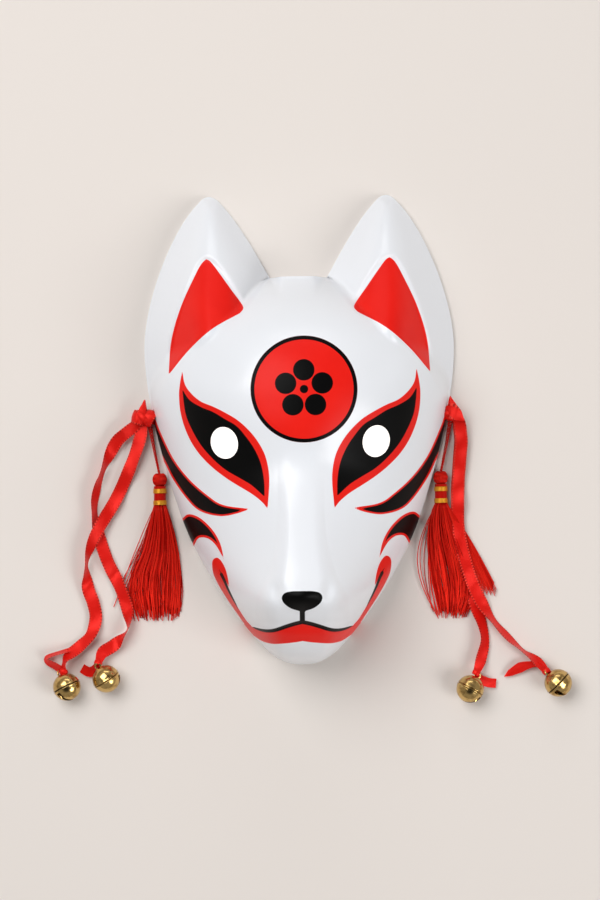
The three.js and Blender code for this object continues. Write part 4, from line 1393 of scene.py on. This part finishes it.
def make_tassel(side, top, lean, edges, strays, seed, thread, gold):
    pieces = []
    bead = make_bead(f"{side}_tassel_head", top, lean, thread)
    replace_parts(bead, f"{side}_tassel_bead")
    neck_top = BEAD_DIAMETER + GAP
    binding = make_wound(f"{side}_tassel_binding", top, lean, neck_top - BINDING_OVERLAP,
                         NECK_LENGTH + BINDING_EXTRA, NECK_DIAMETER / 2 + BINDING_OUT, BINDING_PITCH,
                         thread)
    skirt = make_skirt(f"{side}_tassel_threads", top, lean, edges, strays, seed, thread)
    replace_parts(skirt, f"{side}_tassel_skirt")
    band_start = neck_top + (NECK_LENGTH - BAND_SPACING - BAND_WIDTH) / 2
    for i, level in enumerate(("upper", "lower")):
        ring = make_wound(f"{side}_{level}_gold_winding", top, lean, band_start + i * BAND_SPACING,
                          BAND_WIDTH, NECK_DIAMETER / 2 + GOLD_OUT, GOLD_PITCH, gold)
        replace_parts(ring, f"{side}_tassel_{level}_gold_band")
        pieces.append(ring)
    return [bead, binding, skirt] + pieces


def make_cord(side, start, top, thread):
    """Two twisted strands that the tassel hangs by."""
    middle_x = start[0] * 0.5 + top[0] * 0.5 + math.copysign(CORD_MIDDLE_OUT, start[0])
    middle = (middle_x, start[1] * 0.5 + top[1] * 0.5, CORD_MIDDLE_Z)
    end = (top[0], top[1] - CORD_PAST_HEAD, TASSEL_LIFT)
    line = resample(through([start, middle, end]), CORD_STEP)
    tangent = unit(np.gradient(line, axis=0))
    side_way = np.cross(tangent, [0, 0, 1.0])
    up_way = np.cross(side_way, tangent)
    run = run_along(line)
    angle = run * 2 * math.pi / CORD_TURN
    apart = STRAND_SPACING + STRANDS_PART * (1 - run / run[-1]) ** 2
    strands = []
    for phase in (0, math.pi):
        beside = np.cos(angle + phase)[:, None] * side_way * apart[:, None]
        above = STRAND_SPACING * np.sin(angle + phase)[:, None] * up_way
        strands.append(line + (beside + above))
    centres = np.stack(strands)
    points, faces = tubes(centres, np.full(centres.shape[:2], STRAND_RADIUS), STRAND_SIDES)
    cord = new_piece(f"{side}_twisted_cord", points, faces, thread)
    # A dark tone on both strands: painted shade.
    set_values(cord, "tone", np.full(len(points), CORD_SHADE_TONE))
    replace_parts(cord, f"{side}_tassel_cord")
    return cord


# Knots
WRAP_STEPS = 60
WRAP_TAPER = 0.25
RIGHT_FOLD = [(79.6, 9.4, 8.6, -10), (82.4, 9.6, 10.8, -6), (85.6, 7.6, 11.6, 4), (89.6, 4.2, 9.6, 18)]


def wrap(name, centre, axis, radii, width, turn_range, advance, material, cup=0.5):
    """A ribbon wound round an axis, its face outward: radii are across and up, in millimetres."""
    axis = unit(np.array(axis, float))
    across = unit(np.cross(axis, [0, 0, 1.0]))
    up = np.cross(across, axis)
    turn = np.radians(np.linspace(turn_range[0], turn_range[1], WRAP_STEPS))
    share = np.linspace(-0.5, 0.5, len(turn))
    out = np.cos(turn)[:, None] * across + np.sin(turn)[:, None] * up
    line = np.array(centre, float) + (np.cos(turn) * radii[0])[:, None] * across
    line = line + (np.sin(turn) * radii[1])[:, None] * up
    line = line + (share * advance)[:, None] * axis
    widths = width * (1 - WRAP_TAPER * np.abs(2 * share) ** 2)
    ways = np.repeat(axis[None], len(line), axis=0)
    points, faces, weave = band_mesh(line, ways, out, widths, -cup)
    return band_piece(name, points, faces, weave, material)


def make_left_knot(satin):
    """Two wraps pulled tight round each other, a strap over them and a pointed loop that stands up."""
    return [
        wrap("wrap", (-82.3, 7.2, 6.2), (0.9, -0.42, 0.15), (4.4, 4.8), 6.6, (-60, 300), 1.2, satin),
        wrap("wrap", (-88.0, 7.6, 5.8), (0.28, 0.95, 0.05), (4.0, 4.7), 7.2, (-40, 300), 0.8, satin),
        wrap("wrap", (-85.8, 7.8, 6.6), (0.6, 0.78, 0.05), (5.2, 5.0), 3.6, (20, 165), 1.0, satin),
        band("loop", [(-87.2, 8.4, 9.4, 20), (-86.0, 12.6, 9.8, 28), (-84.9, 17.4, 8.6, 40)], satin, 5.4,
             shape=((0, 1), (0.5, 0.72), (1, 0.12)))[0],
        band("loop", [(-84.6, 8.0, 8.6, -30), (-84.7, 12.4, 9.0, -38), (-84.9, 17.3, 8.5, -40)], satin, 3.4,
             shape=((0, 1), (1, 0.12)))[0],
        wrap("stopper", (-71.8, 10.0, 7.5), (1, 0.2, 0), (3.6, 3.7), 6.0, (-50, 300), 1.0, satin),
    ]


def make_right_knot(satin):
    """A flat folded triangle over a wrap, from which both tails turn down."""
    return [
        wrap("wrap", (82.6, 7.6, 5.8), (0.92, -0.3, 0.1), (3.4, 4.2), 6.4, (-60, 300), 1.0, satin),
        band("fold", RIGHT_FOLD, satin, 9.0, shape=((0, 0.25), (0.3, 1), (0.65, 0.7), (1, 0.12)))[0],
        band("flap", [(84.0, 10.6, 9.4, 14), (83.0, 14.0, 9.2, 10), (82.4, 17.6, 8.4, 4)], satin, 6.0,
             shape=((0, 1), (0.5, 0.6), (1, 0.08)))[0],
        wrap("stopper", (71.8, 10.0, 7.5), (1, -0.2, 0), (3.6, 3.7), 6.0, (-50, 300), 1.0, satin),
    ]


def join(name, pieces):
    """Makes one object of several that share a material."""
    bpy.ops.object.select_all(action="DESELECT")
    for piece in pieces:
        piece.select_set(True)
    bpy.context.view_layer.objects.active = pieces[0]
    bpy.ops.object.join()
    pieces[0].name = name
    return pieces[0]


# Table and light
ROOM_LIGHT = 0.6
OVERHEAD_Z = (0.6, 0.9)
TABLE_REACH = 3000.0

# Softboxes, each as (place, target, size, watts)
LIGHTS = {
    "key": ((-800, 650, 1700), (0, -60, 0), (1500, 1300), 30),
    "top": ((0, 1700, 800), (0, 60, 0), (1200, 300), 3),
    "fill": ((1350, -800, 1300), (0, -100, 0), (1000, 900), 17),
    "behind_eyes": ((0, EYE_Y, 30), (0, EYE_Y, 0), (120, 40), 0.055),
}


def make_floor(material):
    mesh = bpy.data.meshes.new("table")
    corners = np.array([(-1, -1, 0), (1, -1, 0), (1, 1, 0), (-1, 1, 0)]) * TABLE_REACH
    mesh.from_pydata((corners * MM).tolist(), [], [(0, 1, 2, 3)])
    mesh.materials.append(material)
    floor = new_object("table", mesh)


def add_light(name, place, target, size, watts):
    light = bpy.data.lights.new(name, "AREA")
    light.shape = "RECTANGLE"
    light.size, light.size_y = size[0] * MM, size[1] * MM
    light.energy = watts
    lamp = new_object(name, light)
    lamp.location = Vector(place) * MM
    lamp.rotation_euler = (Vector(place) - Vector(target)).to_track_quat("Z", "Y").to_euler()
    return lamp


def light_scene():
    """Large softboxes from above left, behind the ears and the right, and a dim room that is darker
    overhead. A small one behind the eyes shows the table through them."""
    scene = bpy.context.scene
    scene.view_settings.view_transform = "Standard"
    world = bpy.data.worlds.new("studio")
    scene.world = world
    world.use_nodes = True
    tree = world.node_tree
    place = add_node(tree, "ShaderNodeTexCoord").outputs["Generated"]
    way = add_node(tree, "ShaderNodeSeparateXYZ", links={"Vector": place})
    overhead = smooth_step(tree, way.outputs["Z"], *OVERHEAD_Z)
    room = mix_colour(tree, overhead, srgb("CFCBC8"), srgb("2A2A2C"))
    tree.links.new(room, tree.nodes["Background"].inputs["Color"])
    tree.nodes["Background"].inputs["Strength"].default_value = ROOM_LIGHT
    lamps = {name: add_light(name, *values) for name, values in LIGHTS.items()}
    lamps["behind_eyes"].visible_camera = False
    lamps["behind_eyes"].visible_glossy = False


# Tails, each as (route, loose end, where its bell's crown points, which way the slit runs, how dark the
# painted shade in its bell's seam is)
TAILS = {
    "left_outer": (LEFT_OUTER_ROUTE, LEFT_OUTER_END, (-0.5, 0.8, 0.15), (0.86, 0.5, 0.3), 0.45),
    "left_inner": (LEFT_INNER_ROUTE, LEFT_INNER_END, (-0.42, 0.88, -0.12), (-0.66, -0.34, 0.66), 1.0),
    "right_inner": (RIGHT_INNER_ROUTE, RIGHT_INNER_END, (0.5, 0.85, -0.12), (0.75, -0.5, 0.3), 0.45),
    "right_outer": (RIGHT_OUTER_ROUTE, RIGHT_OUTER_END, (-0.7, 0.7, 0.0), (-0.57, -0.24, 0.8), 0.9),
}

# Widths of the loose ends and of the tails, as shares of the ribbon's, at shares of their run
TAIL_SHAPE = ((0, 0.8), (0.04, 1), (0.95, 1), (1, 0.5))
END_SHAPES = {
    "left_outer": ((0, 0.5), (0.4, 0.8), (1, 0.8)),
    "left_inner": ((0, 0.6), (0.2, 0.9), (1, 0.8)),
    "right_inner": ((0, 0.5), (0.4, 0.75), (1, 0.75)),
    "right_outer": ((0, 0.45), (0.3, 0.5), (0.6, 0.85), (0.85, 0.55), (1, 0.06)),
}

# The ribbon's turn round its bell's loop
TIE_RADII = (2.0, 1.7)
TIE_WIDTH = 3.2
TIE_TURN = (-60, 290)
TIE_ADVANCE = 0.6
TIE_CUP = 0.3

# Where each tassel's head starts, and its stray threads, each as (reach, sideways, bow)
LEFT_TASSEL = (-77.4, -22.4)
RIGHT_TASSEL = (76.8, -23.0)
RIGHT_FAN = [(52 - 1.1 * i % 8, 20 + 0.3 * i, 0.5) for i in range(26)]
LEFT_STRAYS = [(50, -20, 1), (56, -24, 0), (46, -17, 1), (41, -19, 2), (59, 8.5, 2.2), (57, 7, 4)]
RIGHT_STRAYS = [(61, -1.5, -9), (60, -3, -6), (63, -0.5, -11), (58, -4, -3)]
LEFT_LEAN = 0.0
RIGHT_LEAN = 0.005
LEFT_SEED = 5
RIGHT_SEED = 8
LEFT_CORD_START = (-82.4, 3.4, 4.6)
RIGHT_CORD_START = (82.4, 3.6, 4.6)

# The scene
make_camera()
lacquer = lacquer_material()
satin = satin_material()
thread = thread_material()
gold = gold_thread_material()
brass = brass_material()

make_shell(lacquer)

tassels = {
    "left": make_tassel("left", LEFT_TASSEL, LEFT_LEAN, LEFT_SKIRT, LEFT_STRAYS, LEFT_SEED, thread, gold),
    "right": make_tassel("right", RIGHT_TASSEL, RIGHT_LEAN, RIGHT_SKIRT, RIGHT_STRAYS + RIGHT_FAN, RIGHT_SEED,
                         thread, gold),
}
tassels["left"].append(make_cord("left", LEFT_CORD_START, LEFT_TASSEL, thread))
tassels["right"].append(make_cord("right", RIGHT_CORD_START, RIGHT_TASSEL, thread))

for side, pieces in (("left", make_left_knot(satin)), ("right", make_right_knot(satin))):
    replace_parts(join(f"{side}_tied_knot", pieces), f"{side}_ribbon_knot")

for name, (route, end_route, crown_way, slit_way, seam_shade) in TAILS.items():
    ribbon, line = band(f"{name}_tail", laid(route), satin, shape=TAIL_SHAPE, sway=1.0)
    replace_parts(ribbon, f"{name}_ribbon")
    loose_end, _ = band(f"{name}_end", end_route, satin, shape=END_SHAPES[name])
    way_out = line[-1] - line[-4]
    tie = wrap("tie", line[-1], way_out, TIE_RADII, TIE_WIDTH, TIE_TURN, TIE_ADVANCE, satin, cup=TIE_CUP)
    loose_end = join(f"{name}_loose_end", [loose_end, tie])
    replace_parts(loose_end, f"{name}_ribbon_end")
    low, high = [np.array(corner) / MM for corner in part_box(f"{name}_bell")]
    bell = make_bell(f"{name}_jingle_bell", (low + high) / 2, crown_way, slit_way, seam_shade, brass)
    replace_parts(bell, f"{name}_bell")
    others = [bell, loose_end]
    if name.endswith("outer"):
        others += tassels[name.split("_")[0]]

make_floor(floor_material())
light_scene()
